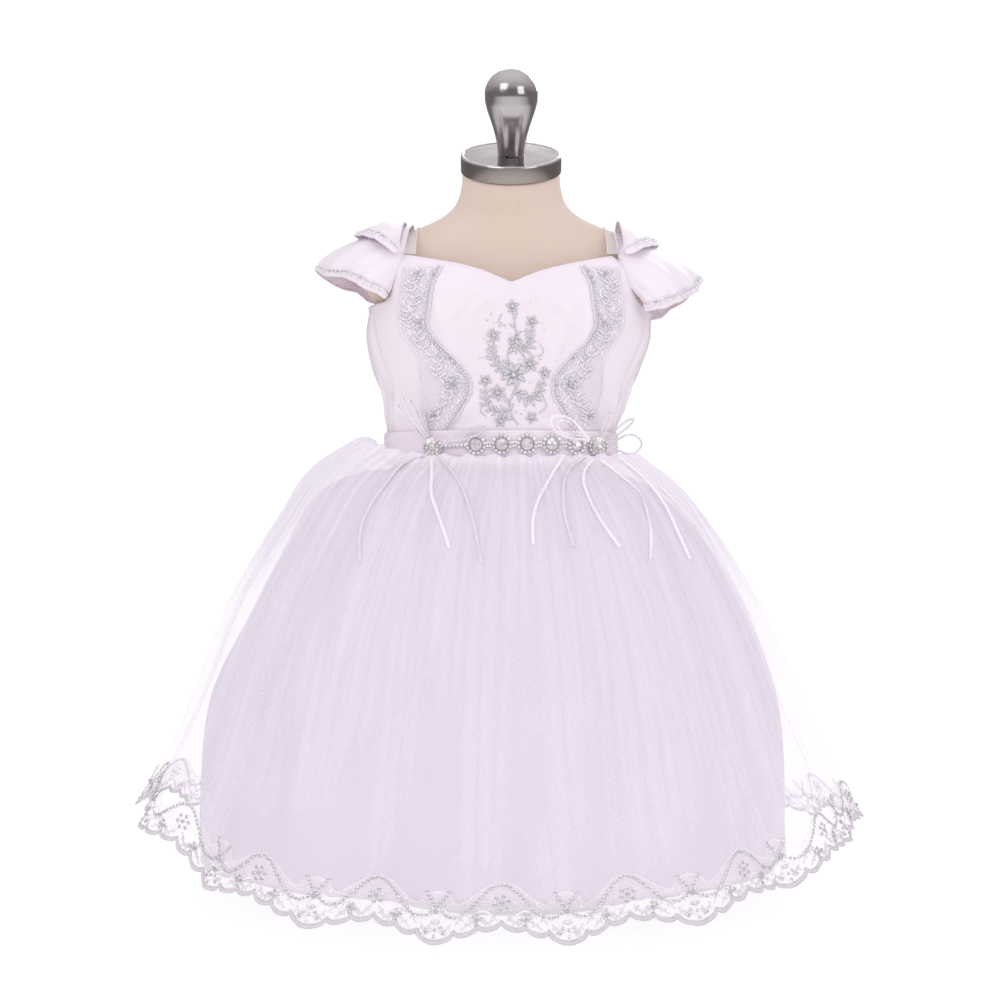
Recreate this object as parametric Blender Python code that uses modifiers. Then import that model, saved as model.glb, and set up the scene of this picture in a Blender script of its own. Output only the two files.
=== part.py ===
"""Christening gown on a limbless dress form.

Metres, +Z up, the front faces -Y. The origin is the middle of the stand's
underside. Every garment panel is a thin wall lofted through sections; the
sections come from the short tables below. Heights in the tables are measured
from a datum that lies DATUM above the floor.
"""
import bpy
import bmesh
import math
from mathutils import Vector, Matrix
from mathutils.bvhtree import BVHTree

# ------------------------------------------------------------------ sizes
DATUM = 0.012            # the tables' zero height above the floor
GAP = 0.0003             # seam gap between pieces
SATIN = 0.0012           # wall of the satin pieces
SHEER = 0.0010           # wall of the tulle and lace pieces
SQUARE = 2.3             # superellipse exponent of the body sections
SKIRT_SQUARE = 2.1       # superellipse exponent of the skirt sections
WAIST_ROWS = 4           # skirt sections over which one passes to the other

# dress form sections: height, half width, front and back reach, forward lean
FORM_COLUMNS = ("z", "half", "front", "back", "lean")
FORM = (
    (0.2320, 0.0460, 0.0360, 0.0420, 0.0),
    (0.2400, 0.0680, 0.0550, 0.0630, 0.0),
    (0.2620, 0.0780, 0.0660, 0.0730, 0.0),
    (0.3000, 0.0740, 0.0650, 0.0670, 0.0),
    (0.3380, 0.0715, 0.0635, 0.0600, 0.0),
    (0.3750, 0.0800, 0.0650, 0.0620, 0.0),
    (0.4100, 0.0930, 0.0660, 0.0650, 0.0),
    (0.4400, 0.1035, 0.0620, 0.0660, 0.0),
    (0.4550, 0.1120, 0.0585, 0.0640, 0.0),
    (0.4680, 0.1185, 0.0545, 0.0620, 0.0),
    (0.4830, 0.1140, 0.0500, 0.0580, 0.0),
    (0.4970, 0.0980, 0.0450, 0.0540, 0.0),
    (0.5080, 0.0770, 0.0410, 0.0500, 0.04),
    (0.5180, 0.0560, 0.0380, 0.0450, 0.12),
    (0.5280, 0.0445, 0.0380, 0.0390, 0.24),
    (0.5400, 0.0400, 0.0385, 0.0335, 0.38),
)
FORM_SIDES = 26
NECK_TILT = math.radians(26)     # the neck's top faces up and forward
NECK_TOP = Vector((0.0, -0.0040, 0.5548))
NECK_R = 0.0385
CAP_R = 0.0400
CAP_H = 0.0144
KNOB_COLUMNS = ("r", "h")
KNOB = (                          # turned knob, top to bottom
    (0.0000, 0.0670), (0.0060, 0.0661), (0.0115, 0.0635), (0.0160, 0.0596),
    (0.0192, 0.0545), (0.0207, 0.0490), (0.0206, 0.0430), (0.0192, 0.0360),
    (0.0168, 0.0285), (0.0142, 0.0205), (0.0122, 0.0125), (0.0110, 0.0050),
    (0.0108, 0.0000), (0.0000, 0.0000),
)
POLE_R = 0.0125
BASE_R = 0.1150
BASE_H = 0.0120

# bodice sections: height, reach to the left, right, front and back
BODICE_COLUMNS = ("z", "left", "right", "front", "back")
BODICE = (
    (0.3250, 0.0985, 0.0825, 0.0745, 0.0720),
    (0.3450, 0.0985, 0.0830, 0.0745, 0.0715),
    (0.3700, 0.1005, 0.0905, 0.0755, 0.0710),
    (0.4000, 0.1110, 0.1035, 0.0775, 0.0720),
    (0.4250, 0.1150, 0.1110, 0.0780, 0.0730),
    (0.4480, 0.1125, 0.1115, 0.0765, 0.0735),
    (0.4650, 0.1230, 0.1230, 0.0720, 0.0715),
    (0.4830, 0.1260, 0.1260, 0.0655, 0.0650),
)
WAIST_Z = 0.3250
# top edge: distance from the middle, height on the front left and right, and
# on the back
TOP_COLUMNS = ("x", "left", "right", "back")
TOP = (
    (0.0000, 0.4577, 0.4577, 0.4735),
    (0.0100, 0.4622, 0.4622, 0.4737),
    (0.0220, 0.4675, 0.4670, 0.4743),
    (0.0380, 0.4725, 0.4715, 0.4755),
    (0.0600, 0.4770, 0.4765, 0.4778),
    (0.0765, 0.4805, 0.4800, 0.4800),
    (0.0835, 0.4815, 0.4755, 0.4800),
    (0.0865, 0.4700, 0.4690, 0.4700),
    (0.0895, 0.4600, 0.4615, 0.4610),
    (0.0925, 0.4500, 0.4545, 0.4530),
    (0.0975, 0.4470, 0.4475, 0.4475),
    (0.1045, 0.4462, 0.4425, 0.4440),
    (0.1160, 0.4460, 0.4405, 0.4430),
)
BODICE_ANGLES = (0, 4, 9, 15, 21, 27, 33, 38.7, 41, 44, 48, 54, 63, 76, 89.85)
BODICE_ROWS = 5

# lace applique on the bodice side front: height, inner and outer edge
APPLIQUE_COLUMNS = ("z", "inner", "outer")
APPLIQUE = (
    (0.3475, 0.0500, 0.0648), (0.3576, 0.0428, 0.0657), (0.3640, 0.0392, 0.0665),
    (0.3706, 0.0352, 0.0678), (0.3775, 0.0336, 0.0695), (0.3843, 0.0338, 0.0698),
    (0.3905, 0.0376, 0.0698), (0.4004, 0.0460, 0.0705), (0.4085, 0.0545, 0.0745),
    (0.4165, 0.0615, 0.0810), (0.4271, 0.0664, 0.0862), (0.4401, 0.0648, 0.0868),
    (0.4531, 0.0632, 0.0850), (0.4592, 0.0618, 0.0838), (0.4661, 0.0583, 0.0830),
    (0.4715, 0.0552, 0.0822),
)

STRAP_X = 0.0780
STRAP_W = 0.0085
STRAP_CLEAR = 0.0015         # the strap's middle above the shoulder
STRAP_ROWS = 14
STRAP_COLUMNS = ("y", "z")
STRAP = (
    (-0.0556, 0.4822), (-0.0480, 0.4900), (-0.0380, 0.4970), (-0.0240, 0.5035),
    (-0.0080, 0.5065), (0.0080, 0.5070), (0.0230, 0.5045), (0.0370, 0.4985),
    (0.0480, 0.4900), (0.0552, 0.4815),
)

# sleeve tiers, from the front end (0) over the shoulder (0.5) to the back
# end (1): the seam, the crown control point and the hem
SLEEVE_COLUMNS = ("s", "seam_x", "seam_y", "seam_z", "crown_x", "crown_y",
                  "crown_z", "hem_x", "hem_y", "hem_z")
LOWER_LEFT = (
    (0.00, 0.0940, -0.0530, 0.4530, 0.0958, -0.0545, 0.4510, 0.0965, -0.0520, 0.4485),
    (0.12, 0.0905, -0.0553, 0.4640, 0.0985, -0.0610, 0.4590, 0.1035, -0.0560, 0.4525),
    (0.22, 0.0885, -0.0560, 0.4730, 0.1060, -0.0640, 0.4700, 0.1165, -0.0560, 0.4585),
    (0.32, 0.0868, -0.0545, 0.4850, 0.1170, -0.0630, 0.4810, 0.1280, -0.0490, 0.4655),
    (0.41, 0.0868, -0.0300, 0.5045, 0.1370, -0.0400, 0.4890, 0.1450, -0.0300, 0.4690),
    (0.50, 0.0875, 0.0000, 0.5105, 0.1520, 0.0005, 0.4950, 0.1555, 0.0010, 0.4775),
    (0.59, 0.0868, 0.0300, 0.5050, 0.1380, 0.0400, 0.4890, 0.1460, 0.0310, 0.4700),
    (0.68, 0.0868, 0.0550, 0.4840, 0.1180, 0.0640, 0.4800, 0.1290, 0.0510, 0.4660),
    (0.78, 0.0885, 0.0565, 0.4730, 0.1070, 0.0655, 0.4700, 0.1170, 0.0570, 0.4590),
    (0.88, 0.0905, 0.0560, 0.4640, 0.0990, 0.0620, 0.4590, 0.1045, 0.0570, 0.4530),
    (1.00, 0.0940, 0.0540, 0.4550, 0.0960, 0.0555, 0.4530, 0.0970, 0.0530, 0.4500),
)
LOWER_RIGHT = (
    (0.00, 0.1000, -0.0485, 0.4485, 0.1025, -0.0500, 0.4450, 0.1035, -0.0475, 0.4395),
    (0.12, 0.0935, -0.0535, 0.4570, 0.1050, -0.0590, 0.4510, 0.1120, -0.0530, 0.4405),
    (0.22, 0.0905, -0.0553, 0.4660, 0.1110, -0.0620, 0.4610, 0.1230, -0.0500, 0.4440),
    (0.32, 0.0872, -0.0550, 0.4800, 0.1210, -0.0600, 0.4730, 0.1340, -0.0400, 0.4500),
    (0.41, 0.0868, -0.0300, 0.4985, 0.1290, -0.0380, 0.4795, 0.1450, -0.0220, 0.4575),
    (0.50, 0.0875, 0.0000, 0.5050, 0.1400, 0.0005, 0.4870, 0.1530, 0.0010, 0.4690),
    (0.59, 0.0868, 0.0300, 0.4985, 0.1290, 0.0380, 0.4795, 0.1450, 0.0240, 0.4590),
    (0.68, 0.0868, 0.0550, 0.4840, 0.1210, 0.0610, 0.4740, 0.1340, 0.0430, 0.4520),
    (0.78, 0.0895, 0.0560, 0.4700, 0.1110, 0.0635, 0.4620, 0.1230, 0.0530, 0.4450),
    (0.88, 0.0930, 0.0550, 0.4600, 0.1050, 0.0600, 0.4520, 0.1120, 0.0550, 0.4420),
    (1.00, 0.0985, 0.0510, 0.4510, 0.1010, 0.0525, 0.4470, 0.1020, 0.0500, 0.4430),
)
UPPER_LEFT = (
    (0.00, 0.0850, -0.0600, 0.4835, 0.0870, -0.0620, 0.4830, 0.0885, -0.0628, 0.4812),
    (0.15, 0.0868, -0.0560, 0.4915, 0.0910, -0.0620, 0.4915, 0.0940, -0.0640, 0.4855),
    (0.30, 0.0868, -0.0400, 0.5045, 0.0980, -0.0500, 0.5040, 0.1040, -0.0550, 0.4935),
    (0.42, 0.0872, -0.0160, 0.5130, 0.1060, -0.0220, 0.5130, 0.1165, -0.0260, 0.5005),
    (0.50, 0.0875, 0.0000, 0.5145, 0.1120, 0.0000, 0.5150, 0.1245, 0.0000, 0.5045),
    (0.58, 0.0872, 0.0160, 0.5135, 0.1060, 0.0220, 0.5130, 0.1165, 0.0260, 0.5005),
    (0.70, 0.0868, 0.0400, 0.5050, 0.0980, 0.0500, 0.5040, 0.1040, 0.0550, 0.4935),
    (0.85, 0.0868, 0.0565, 0.4915, 0.0910, 0.0625, 0.4915, 0.0940, 0.0645, 0.4855),
    (1.00, 0.0850, 0.0605, 0.4835, 0.0870, 0.0625, 0.4830, 0.0885, 0.0632, 0.4812),
)
UPPER_RIGHT_DROP = 0.0080   # the right upper tier's hem hangs this much lower
UPPER_RIGHT_REACH = 0.80    # and reaches this much of the left one's width
SLEEVE_STEPS = 14
SLEEVE_ROWS = 4

# waist sash and what is sewn on it
SASH_LOW = 0.3264
SASH_HIGH = 0.3462
CHAIN_T = 0.0026
CHAIN_HALF = 0.0022          # half height of the plain pearl stretch
MEDAL_R = 0.0072
MEDAL_X = (-0.0264, -0.0075, 0.0113, 0.0298, 0.0478)
BROOCH_COLUMNS = ("side", "x", "z")
BROOCH = (("left", -0.0598, 0.3342), ("right", 0.0650, 0.3352))
BROOCH_R = 0.0077
BROOCH_T = 0.0036

# skirt sections from the waist down: reach and height on the left, the right,
# the front and the back
SKIRT_COLUMNS = ("left", "left_z", "right", "right_z", "front", "front_z",
                 "back", "back_z")
OVERLAY = (
    (0.0965, 0.3212, 0.0805, 0.3218, 0.0735, 0.3218, 0.0715, 0.3218),
    (0.1058, 0.3270, 0.0882, 0.3246, 0.0805, 0.3238, 0.0788, 0.3246),
    (0.1120, 0.3392, 0.0955, 0.3266, 0.0872, 0.3240, 0.0862, 0.3266),
    (0.1240, 0.3390, 0.1070, 0.3235, 0.0985, 0.3200, 0.0980, 0.3245),
    (0.1430, 0.3290, 0.1230, 0.3130, 0.1140, 0.3110, 0.1140, 0.3150),
    (0.1620, 0.3110, 0.1400, 0.2960, 0.1300, 0.2945, 0.1310, 0.2970),
    (0.1780, 0.2850, 0.1560, 0.2740, 0.1450, 0.2730, 0.1470, 0.2740),
    (0.1970, 0.2550, 0.1730, 0.2470, 0.1600, 0.2450, 0.1620, 0.2450),
    (0.2220, 0.2110, 0.1975, 0.2030, 0.1785, 0.1970, 0.1815, 0.1960),
    (0.2420, 0.1600, 0.2200, 0.1500, 0.1960, 0.1340, 0.1990, 0.1340),
)
LINING = (
    (0.0925, 0.3192, 0.0765, 0.3192, 0.0695, 0.3192, 0.0680, 0.3192),
    (0.1210, 0.3150, 0.1020, 0.3070, 0.0930, 0.3055, 0.0935, 0.3070),
    (0.1520, 0.2990, 0.1290, 0.2870, 0.1180, 0.2860, 0.1190, 0.2880),
    (0.1740, 0.2620, 0.1530, 0.2580, 0.1390, 0.2560, 0.1410, 0.2560),
    (0.2010, 0.2100, 0.1810, 0.2110, 0.1610, 0.2030, 0.1640, 0.2030),
    (0.2370, 0.1330, 0.2080, 0.1330, 0.1800, 0.1300, 0.1830, 0.1300),
    (0.2465, 0.0150, 0.2140, 0.0150, 0.1930, 0.0150, 0.1960, 0.0150),
)
# lace hem line by azimuth (0 front, 90 right): height of the lowest scallops
HEM_COLUMNS = ("azimuth", "z")
HEM = (
    (-180, 0.0050), (-150, 0.0070), (-125, 0.0180), (-105, 0.0400),
    (-90, 0.0500), (-75, 0.0540), (-62, 0.0400), (-49, 0.0200), (-30, 0.0034),
    (-11, -0.0030), (8, -0.0035), (27, 0.0060), (38, 0.0120), (50, 0.0220),
    (61, 0.0304), (70, 0.0388), (81, 0.0392), (90, 0.0380), (105, 0.0280),
    (125, 0.0150), (150, 0.0070), (180, 0.0050),
)
HEM_REACH = {"left": 0.2910, "right": 0.2720, "front": 0.2250, "back": 0.2280}
HEM_FLARE = {"left": 0.45, "right": 0.45, "front": 0.22, "back": 0.22}
OVERLAY_END = 0.022          # the tulle ends this far above the lowest scallops
OVERLAY_JOIN = 0.060         # last section that follows the lace's own slope
# large folds of the skirt: azimuth, half width (degrees), depth
FOLD_COLUMNS = ("azimuth", "width", "depth")
FOLDS = (
    (-168, 9, 0.0045), (-146, 7, -0.0050), (-128, 8, 0.0060), (-108, 6, -0.0045),
    (-93, 6, 0.0050), (-78, 6, -0.0060), (-64, 6, 0.0045), (-50, 7, -0.0050),
    (-35, 7, 0.0040), (-20, 8, -0.0030), (-3, 9, 0.0030), (15, 8, -0.0030),
    (31, 7, 0.0045), (45, 5, -0.0080), (55, 5, 0.0050), (70, 6, -0.0050),
    (84, 6, 0.0045), (101, 7, -0.0050), (118, 8, 0.0055), (137, 8, -0.0050),
    (158, 9, 0.0050),
)
GATHERS = 20                 # soft gathers that fade out below the waist
GATHER_DEPTH = 0.0014
SKIRT_COLS = 34              # columns of each half of the overlay
LINING_COLS = 18             # columns of each half of the lining

# lace pattern along one repeat: distance, scallop edge, top edge
LACE_REPEATS = 18
LACE_COLUMNS = ("u", "low", "high")
LACE = (
    (0.0000, 0.0000, 0.0340), (0.1440, 0.0050, 0.0265), (0.2310, 0.0045, 0.0300),
    (0.3200, 0.0090, 0.0350), (0.4110, 0.0085, 0.0400), (0.5000, 0.0125, 0.0420),
)
LACE_PHASE = 0.0372          # a lowest scallop lies this far right of the front

# narrow ribbon bows: loop tip, half spread and level off the bodice
LOOP_COLUMNS = ("name", "side", "tip_x", "tip_z", "spread", "level")
LOOPS = (
    ("loop_satin_a", "left", -0.0873, 0.3666, 0.0016, 1),
    ("loop_satin_b", "left", -0.0824, 0.3715, 0.0016, 4),
    ("loop_satin_c", "left", -0.0768, 0.3700, 0.0014, 2.1),
    ("loop_silver_d", "left", -0.0712, 0.3625, 0.0018, 1),
    ("loop_silver_e", "left", -0.0190, 0.3485, 0.0030, 1),
    ("loop_sheer_f", "right", 0.0290, 0.3550, 0.0065, 1),
    ("loop_satin_g", "right", 0.0764, 0.3620, 0.0014, 1),
    ("loop_silver_h", "right", 0.0950, 0.3565, 0.0018, 1),
    ("loop_satin_i", "right", 0.1020, 0.3375, 0.0070, 1),
)
LOOP_W = 0.0020
LOOP_T = 0.0010
LOOP_CLEAR = 0.0006
LOOP_STEPS = 7

# hanging ribbon tails: points of each route on the tulle
TAIL_R = 0.0012
TAIL_CLEAR = 0.0013
TAIL_COLUMNS = ("x", "z")
TAILS = {
    "tail_silver_a": ((-0.0655, 0.3262), (-0.0811, 0.3210), (-0.0929, 0.3054),
                      (-0.1014, 0.2936), (-0.1083, 0.2796), (-0.1106, 0.2674),
                      (-0.1092, 0.2483)),
    "tail_satin_b": ((-0.0598, 0.3238), (-0.0590, 0.3120), (-0.0592, 0.2985),
                     (-0.0550, 0.2875), (-0.0493, 0.2734), (-0.0450, 0.2590)),
    "tail_silver_c": ((-0.0541, 0.3255), (-0.0416, 0.3110), (-0.0332, 0.2951),
                      (-0.0267, 0.2728), (-0.0217, 0.2487)),
    "tail_satin_d": ((0.0385, 0.3262), (0.0280, 0.3091), (0.0189, 0.2934),
                     (0.0144, 0.2770), (0.0150, 0.2619)),
    "tail_silver_e": ((0.0550, 0.3255), (0.0432, 0.3172), (0.0377, 0.3051),
                      (0.0372, 0.2885), (0.0398, 0.2741), (0.0443, 0.2600)),
    "tail_satin_f": ((0.0606, 0.3235), (0.0525, 0.3120), (0.0544, 0.2985),
                     (0.0633, 0.2798), (0.0774, 0.2596)),
    "tail_satin_g": ((0.0668, 0.3232), (0.0790, 0.3130), (0.0942, 0.3003),
                     (0.0992, 0.2868), (0.1013, 0.2693), (0.0993, 0.2509)),
    "tail_satin_h": ((0.0748, 0.3288), (0.0870, 0.3215), (0.1010, 0.3090),
                     (0.1142, 0.2904), (0.1232, 0.2696), (0.1314, 0.2500)),
    "tail_satin_i": ((0.1100, 0.3045), (0.1235, 0.2914), (0.1340, 0.2800),
                     (0.1445, 0.2674)),
}


# ---------------------------------------------------------------- helpers
def clear_scene():
    for obj in list(bpy.data.objects):
        bpy.data.objects.remove(obj, do_unlink=True)


def column(rows, columns, name):
    return [row[columns.index(name)] for row in rows]


def curve_at(xs, ys, x):
    """Cubic through the points (xs, ys), flat beyond the ends."""
    if x <= xs[0]:
        return ys[0]
    if x >= xs[-1]:
        return ys[-1]
    k = 0
    while x > xs[k + 1]:
        k += 1
    h = xs[k + 1] - xs[k]
    t = (x - xs[k]) / h

    def slope(i):
        if i == 0:
            return (ys[1] - ys[0]) / (xs[1] - xs[0])
        if i == len(xs) - 1:
            return (ys[-1] - ys[-2]) / (xs[-1] - xs[-2])
        d0 = (ys[i] - ys[i - 1]) / (xs[i] - xs[i - 1])
        d1 = (ys[i + 1] - ys[i]) / (xs[i + 1] - xs[i])
        return 0.0 if d0 * d1 <= 0 else 2 * d0 * d1 / (d0 + d1)

    m0, m1 = slope(k) * h, slope(k + 1) * h
    t2, t3 = t * t, t * t * t
    return (ys[k] * (2 * t3 - 3 * t2 + 1) + m0 * (t3 - 2 * t2 + t)
            + ys[k + 1] * (3 * t2 - 2 * t3) + m1 * (t3 - t2))


def line_at(xs, ys, x):
    """Straight lines through the points (xs, ys)."""
    if x <= xs[0]:
        return ys[0]
    for k in range(len(xs) - 1):
        if x <= xs[k + 1]:
            f = (x - xs[k]) / (xs[k + 1] - xs[k])
            return ys[k] * (1 - f) + ys[k + 1] * f
    return ys[-1]


def signed_power(value, power):
    return math.copysign(abs(value) ** power, value)


def oval(angle, left, right, front, back, square):
    """Point of a superellipse; angle 0 is the front and +90 degrees is +X."""
    s, c = math.sin(angle), math.cos(angle)
    x = (right if s > 0 else left) * signed_power(s, 2 / square)
    y = -(front if c > 0 else back) * signed_power(c, 2 / square)
    return x, y


def material(name, colour, rough, metal=0.0, alpha=1.0):
    mat = bpy.data.materials.get(name)
    if mat is None:
        mat = bpy.data.materials.new(name)
        mat.use_nodes = True
        bsdf = mat.node_tree.nodes["Principled BSDF"]
        bsdf.inputs["Base Color"].default_value = (*colour, 1)
        bsdf.inputs["Roughness"].default_value = rough
        bsdf.inputs["Metallic"].default_value = metal
        bsdf.inputs["Alpha"].default_value = alpha
    return mat


def place(obj, mat):
    for coll in list(obj.users_collection):
        coll.objects.unlink(obj)
    PARTS.objects.link(obj)
    obj.data.materials.clear()
    obj.data.materials.append(mat)
    obj.parent = DATUM_EMPTY
    return obj


def mesh_object(name, verts, faces, mat, smooth=True):
    mesh = bpy.data.meshes.new(name)
    mesh.from_pydata([tuple(v) for v in verts], [], faces)
    mesh.update()
    if smooth:
        mesh.shade_smooth()
    obj = bpy.data.objects.new(name, mesh)
    return place(obj, mat)


def wall(name, grid, thickness, mat, closed=False):
    """Wall of even thickness on a grid of points, rows from low to high and
    columns from left to right as seen from outside."""
    rows, cols = len(grid), len(grid[0])
    verts = [p for row in grid for p in row]
    faces = []
    for i in range(rows - 1):
        for j in range(cols if closed else cols - 1):
            k = (j + 1) % cols
            faces.append((i * cols + j, i * cols + k,
                          (i + 1) * cols + k, (i + 1) * cols + j))
    obj = mesh_object(name, verts, faces, mat)
    mod = obj.modifiers.new("wall", "SOLIDIFY")
    mod.thickness = thickness
    mod.offset = 0.0
    mod.use_even_offset = False
    return obj


def mirror_rows(rows, columns, names):
    """The same table with the named columns' signs turned."""
    idx = [columns.index(n) for n in names]
    return tuple(tuple(-v if i in idx else v for i, v in enumerate(row))
                 for row in rows)


# ----------------------------------------------------------------- bodice
def bodice_point(angle, z):
    zs = column(BODICE, BODICE_COLUMNS, "z")
    reach = [curve_at(zs, column(BODICE, BODICE_COLUMNS, n), z)
             for n in ("left", "right", "front", "back")]
    x, y = oval(angle, *reach, SQUARE)
    return Vector((x, y, z))


def bodice_out(angle, z, offset):
    """Bodice point moved outwards by offset."""
    p = bodice_point(angle, z)
    if not offset:
        return p
    d = 0.004
    u = bodice_point(angle + d, z) - bodice_point(angle - d, z)
    v = bodice_point(angle, z + 0.0005) - bodice_point(angle, z - 0.0005)
    n = u.cross(v)
    return p + n.normalized() * offset


def bodice_angle(x, z, front=True):
    """Angle at which the bodice section at height z reaches x."""
    zs = column(BODICE, BODICE_COLUMNS, "z")
    reach = curve_at(zs, column(BODICE, BODICE_COLUMNS,
                                "right" if x > 0 else "left"), z)
    s = min(1.0, abs(x) / reach) ** (SQUARE / 2)
    a = math.asin(s)
    a = a if front else math.pi - a
    return math.copysign(a, x)


def top_edge(angle):
    """Height of the bodice's top edge at an angle."""
    xs = column(TOP, TOP_COLUMNS, "x")
    side = "back" if abs(angle) > math.pi / 2 else (
        "right" if angle > 0 else "left")
    zs = column(TOP, TOP_COLUMNS, side)
    # at the side seam the back meets the front's height
    seam = column(TOP, TOP_COLUMNS, "right" if angle > 0 else "left")
    low, high = 0.430, 0.490
    for _ in range(40):
        mid = (low + high) / 2
        x = abs(bodice_point(angle, mid).x)
        want = line_at(xs, zs, x)
        if side == "back":
            f = min(1.0, max(0.0, (x - 0.0975) / 0.012))
            want = want * (1 - f) + line_at(xs, seam, x) * f
        if mid < want:
            low = mid
        else:
            high = mid
    return (low + high) / 2


def bodice_panel(name, angles, mat):
    grid = []
    for i in range(BODICE_ROWS + 1):
        f = i / BODICE_ROWS
        row = []
        for a in angles:
            z = WAIST_Z + (top_edge(a) - WAIST_Z) * f
            row.append(bodice_out(a, z, 0.0))
        grid.append(row)
    return wall(name, grid, SATIN, mat)


def build_bodice():
    half = [math.radians(a) for a in BODICE_ANGLES]
    front = [-a for a in reversed(half[1:])] + half
    bodice_panel("bodice_front", front, SATIN_MAT)
    middle = math.radians(0.12)
    right = [math.pi - a for a in reversed(half[1:])] + [math.pi - middle]
    left = [-a for a in reversed(right)]
    bodice_panel("bodice_back_right", right, SATIN_MAT)
    bodice_panel("bodice_back_left", left, SATIN_MAT)


def build_appliques():
    """Lace panels made from the bodice front's points, moved out."""
    bpy.context.view_layer.update()
    tree = surface_tree(["bodice_front"])
    distance = GAP + SHEER / 2 + 0.0007
    cols = 3
    for side, sign in (("left", -1), ("right", 1)):
        grid = []
        for z, inner, outer in APPLIQUE:
            row = []
            for j in range(cols + 1):
                f = j / cols
                x = outer + (inner - outer) * f
                p = bodice_out(bodice_angle(sign * x, z), z, 0.006)
                near, normal, _, _ = tree.find_nearest(p)
                row.append(near + normal * distance)
            grid.append(row if sign < 0 else row[::-1])
        wall("lace_panel_" + side, grid, SHEER, LACE_MAT)


def build_straps():
    tree = surface_tree(["form_torso"])
    ys = column(STRAP, STRAP_COLUMNS, "y")
    zs = column(STRAP, STRAP_COLUMNS, "z")
    for side, sign in (("left", -1), ("right", 1)):
        grid = []
        for i in range(STRAP_ROWS + 1):
            y = ys[0] + (ys[-1] - ys[0]) * i / STRAP_ROWS
            z = curve_at(ys, zs, y)
            row = []
            for dx in (-STRAP_W / 2, 0.0, STRAP_W / 2):
                x = sign * STRAP_X + dx
                hit = tree.ray_cast(Vector((x, y, 1.0)), Vector((0, 0, -1)))[0]
                top = z if hit is None else max(z, hit.z + STRAP_CLEAR)
                row.append(Vector((x, y, top)))
            grid.append(row)
        wall("strap_" + side, grid, SHEER, SHEER_MAT)


# ---------------------------------------------------------------- sleeves
def sleeve_grid(rows, sign, drop=0.0, reach=1.0):
    s_col = column(rows, SLEEVE_COLUMNS, "s")

    def at(name, s):
        return curve_at(s_col, column(rows, SLEEVE_COLUMNS, name), s)

    grid = []
    for i in range(SLEEVE_ROWS + 1):
        t = 1 - i / SLEEVE_ROWS            # from the hem up to the seam
        row = []
        for j in range(SLEEVE_STEPS + 1):
            s = j / SLEEVE_STEPS
            seam, crown, hem = (
                Vector((at(part + "_x", s), at(part + "_y", s),
                        at(part + "_z", s)))
                for part in ("seam", "crown", "hem"))
            fall = drop * math.sin(math.pi * s)
            hem.z -= fall
            crown.z -= fall * 0.6
            hem.x = seam.x + (hem.x - seam.x) * reach
            crown.x = seam.x + (crown.x - seam.x) * reach
            p = seam * (1 - t) ** 2 + crown * 2 * t * (1 - t) + hem * t * t
            row.append(Vector((sign * p.x, p.y, p.z)))
        grid.append(row[::-1] if sign < 0 else row)
    return grid


def build_sleeves():
    wall("sleeve_lower_left", sleeve_grid(LOWER_LEFT, -1), SATIN, SATIN_MAT)
    wall("sleeve_lower_right", sleeve_grid(LOWER_RIGHT, 1), SATIN, SATIN_MAT)
    wall("sleeve_upper_left", sleeve_grid(UPPER_LEFT, -1), SATIN, SATIN_MAT)
    wall("sleeve_upper_right",
         sleeve_grid(UPPER_LEFT, 1, UPPER_RIGHT_DROP, UPPER_RIGHT_REACH),
         SATIN, SATIN_MAT)


# --------------------------------------------------------- sash and chain
SASH_OFFSET = SATIN / 2 + GAP + SATIN / 2 + 0.0004


def build_sash():
    cols = 48
    grid = []
    for z in (SASH_LOW, (SASH_LOW + SASH_HIGH) / 2, SASH_HIGH):
        grid.append([bodice_out(-math.pi + 2 * math.pi * j / cols, z, SASH_OFFSET)
                     for j in range(cols)])
    wall("waist_sash", grid, SATIN, SASH_MAT, closed=True)


def chain_line(x):
    """Height of the chain's middle line over the sash."""
    (_, x0, z0), (_, x1, z1) = BROOCH
    f = (x - x0) / (x1 - x0)
    return z0 + (z1 - z0) * f + 0.0010 * math.sin(math.pi * f)


def build_chain():
    """Pearl chain with round medallions, one strip that widens at each."""
    start = BROOCH[0][1] + BROOCH_R + 0.0012
    end = MEDAL_X[-1] + MEDAL_R
    xs = [start, start + 0.006, start + 0.012]
    for c in MEDAL_X:
        for f in (-1.0, -0.85, -0.5, 0.0, 0.5, 0.85, 1.0):
            xs.append(c + f * MEDAL_R)
    xs = sorted(x for x in xs if start <= x <= end)
    offset = SASH_OFFSET + SATIN / 2 + GAP + CHAIN_T / 2 + 0.0003
    low, high = [], []
    for x in xs:
        half = CHAIN_HALF
        for c in MEDAL_X:
            d = abs(x - c)
            if d < MEDAL_R:
                half = max(half, math.sqrt(MEDAL_R ** 2 - d * d))
        z = chain_line(x)
        a = bodice_angle(x, z)
        low.append(bodice_out(a, z, offset) - Vector((0, 0, half)))
        high.append(bodice_out(a, z, offset) + Vector((0, 0, half)))
    wall("belt_chain", [low, high], CHAIN_T, CRYSTAL_MAT)


def brooch_frame(x, z):
    """Centre and outward direction of a brooch over the sash."""
    a = bodice_angle(x, z)
    p = bodice_out(a, z, SASH_OFFSET)
    n = (bodice_out(a, z, SASH_OFFSET + 0.01) - p).normalized()
    n = (n + Vector((0, -1.6, 0))).normalized()
    return p + n * 0.0070, n


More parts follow.
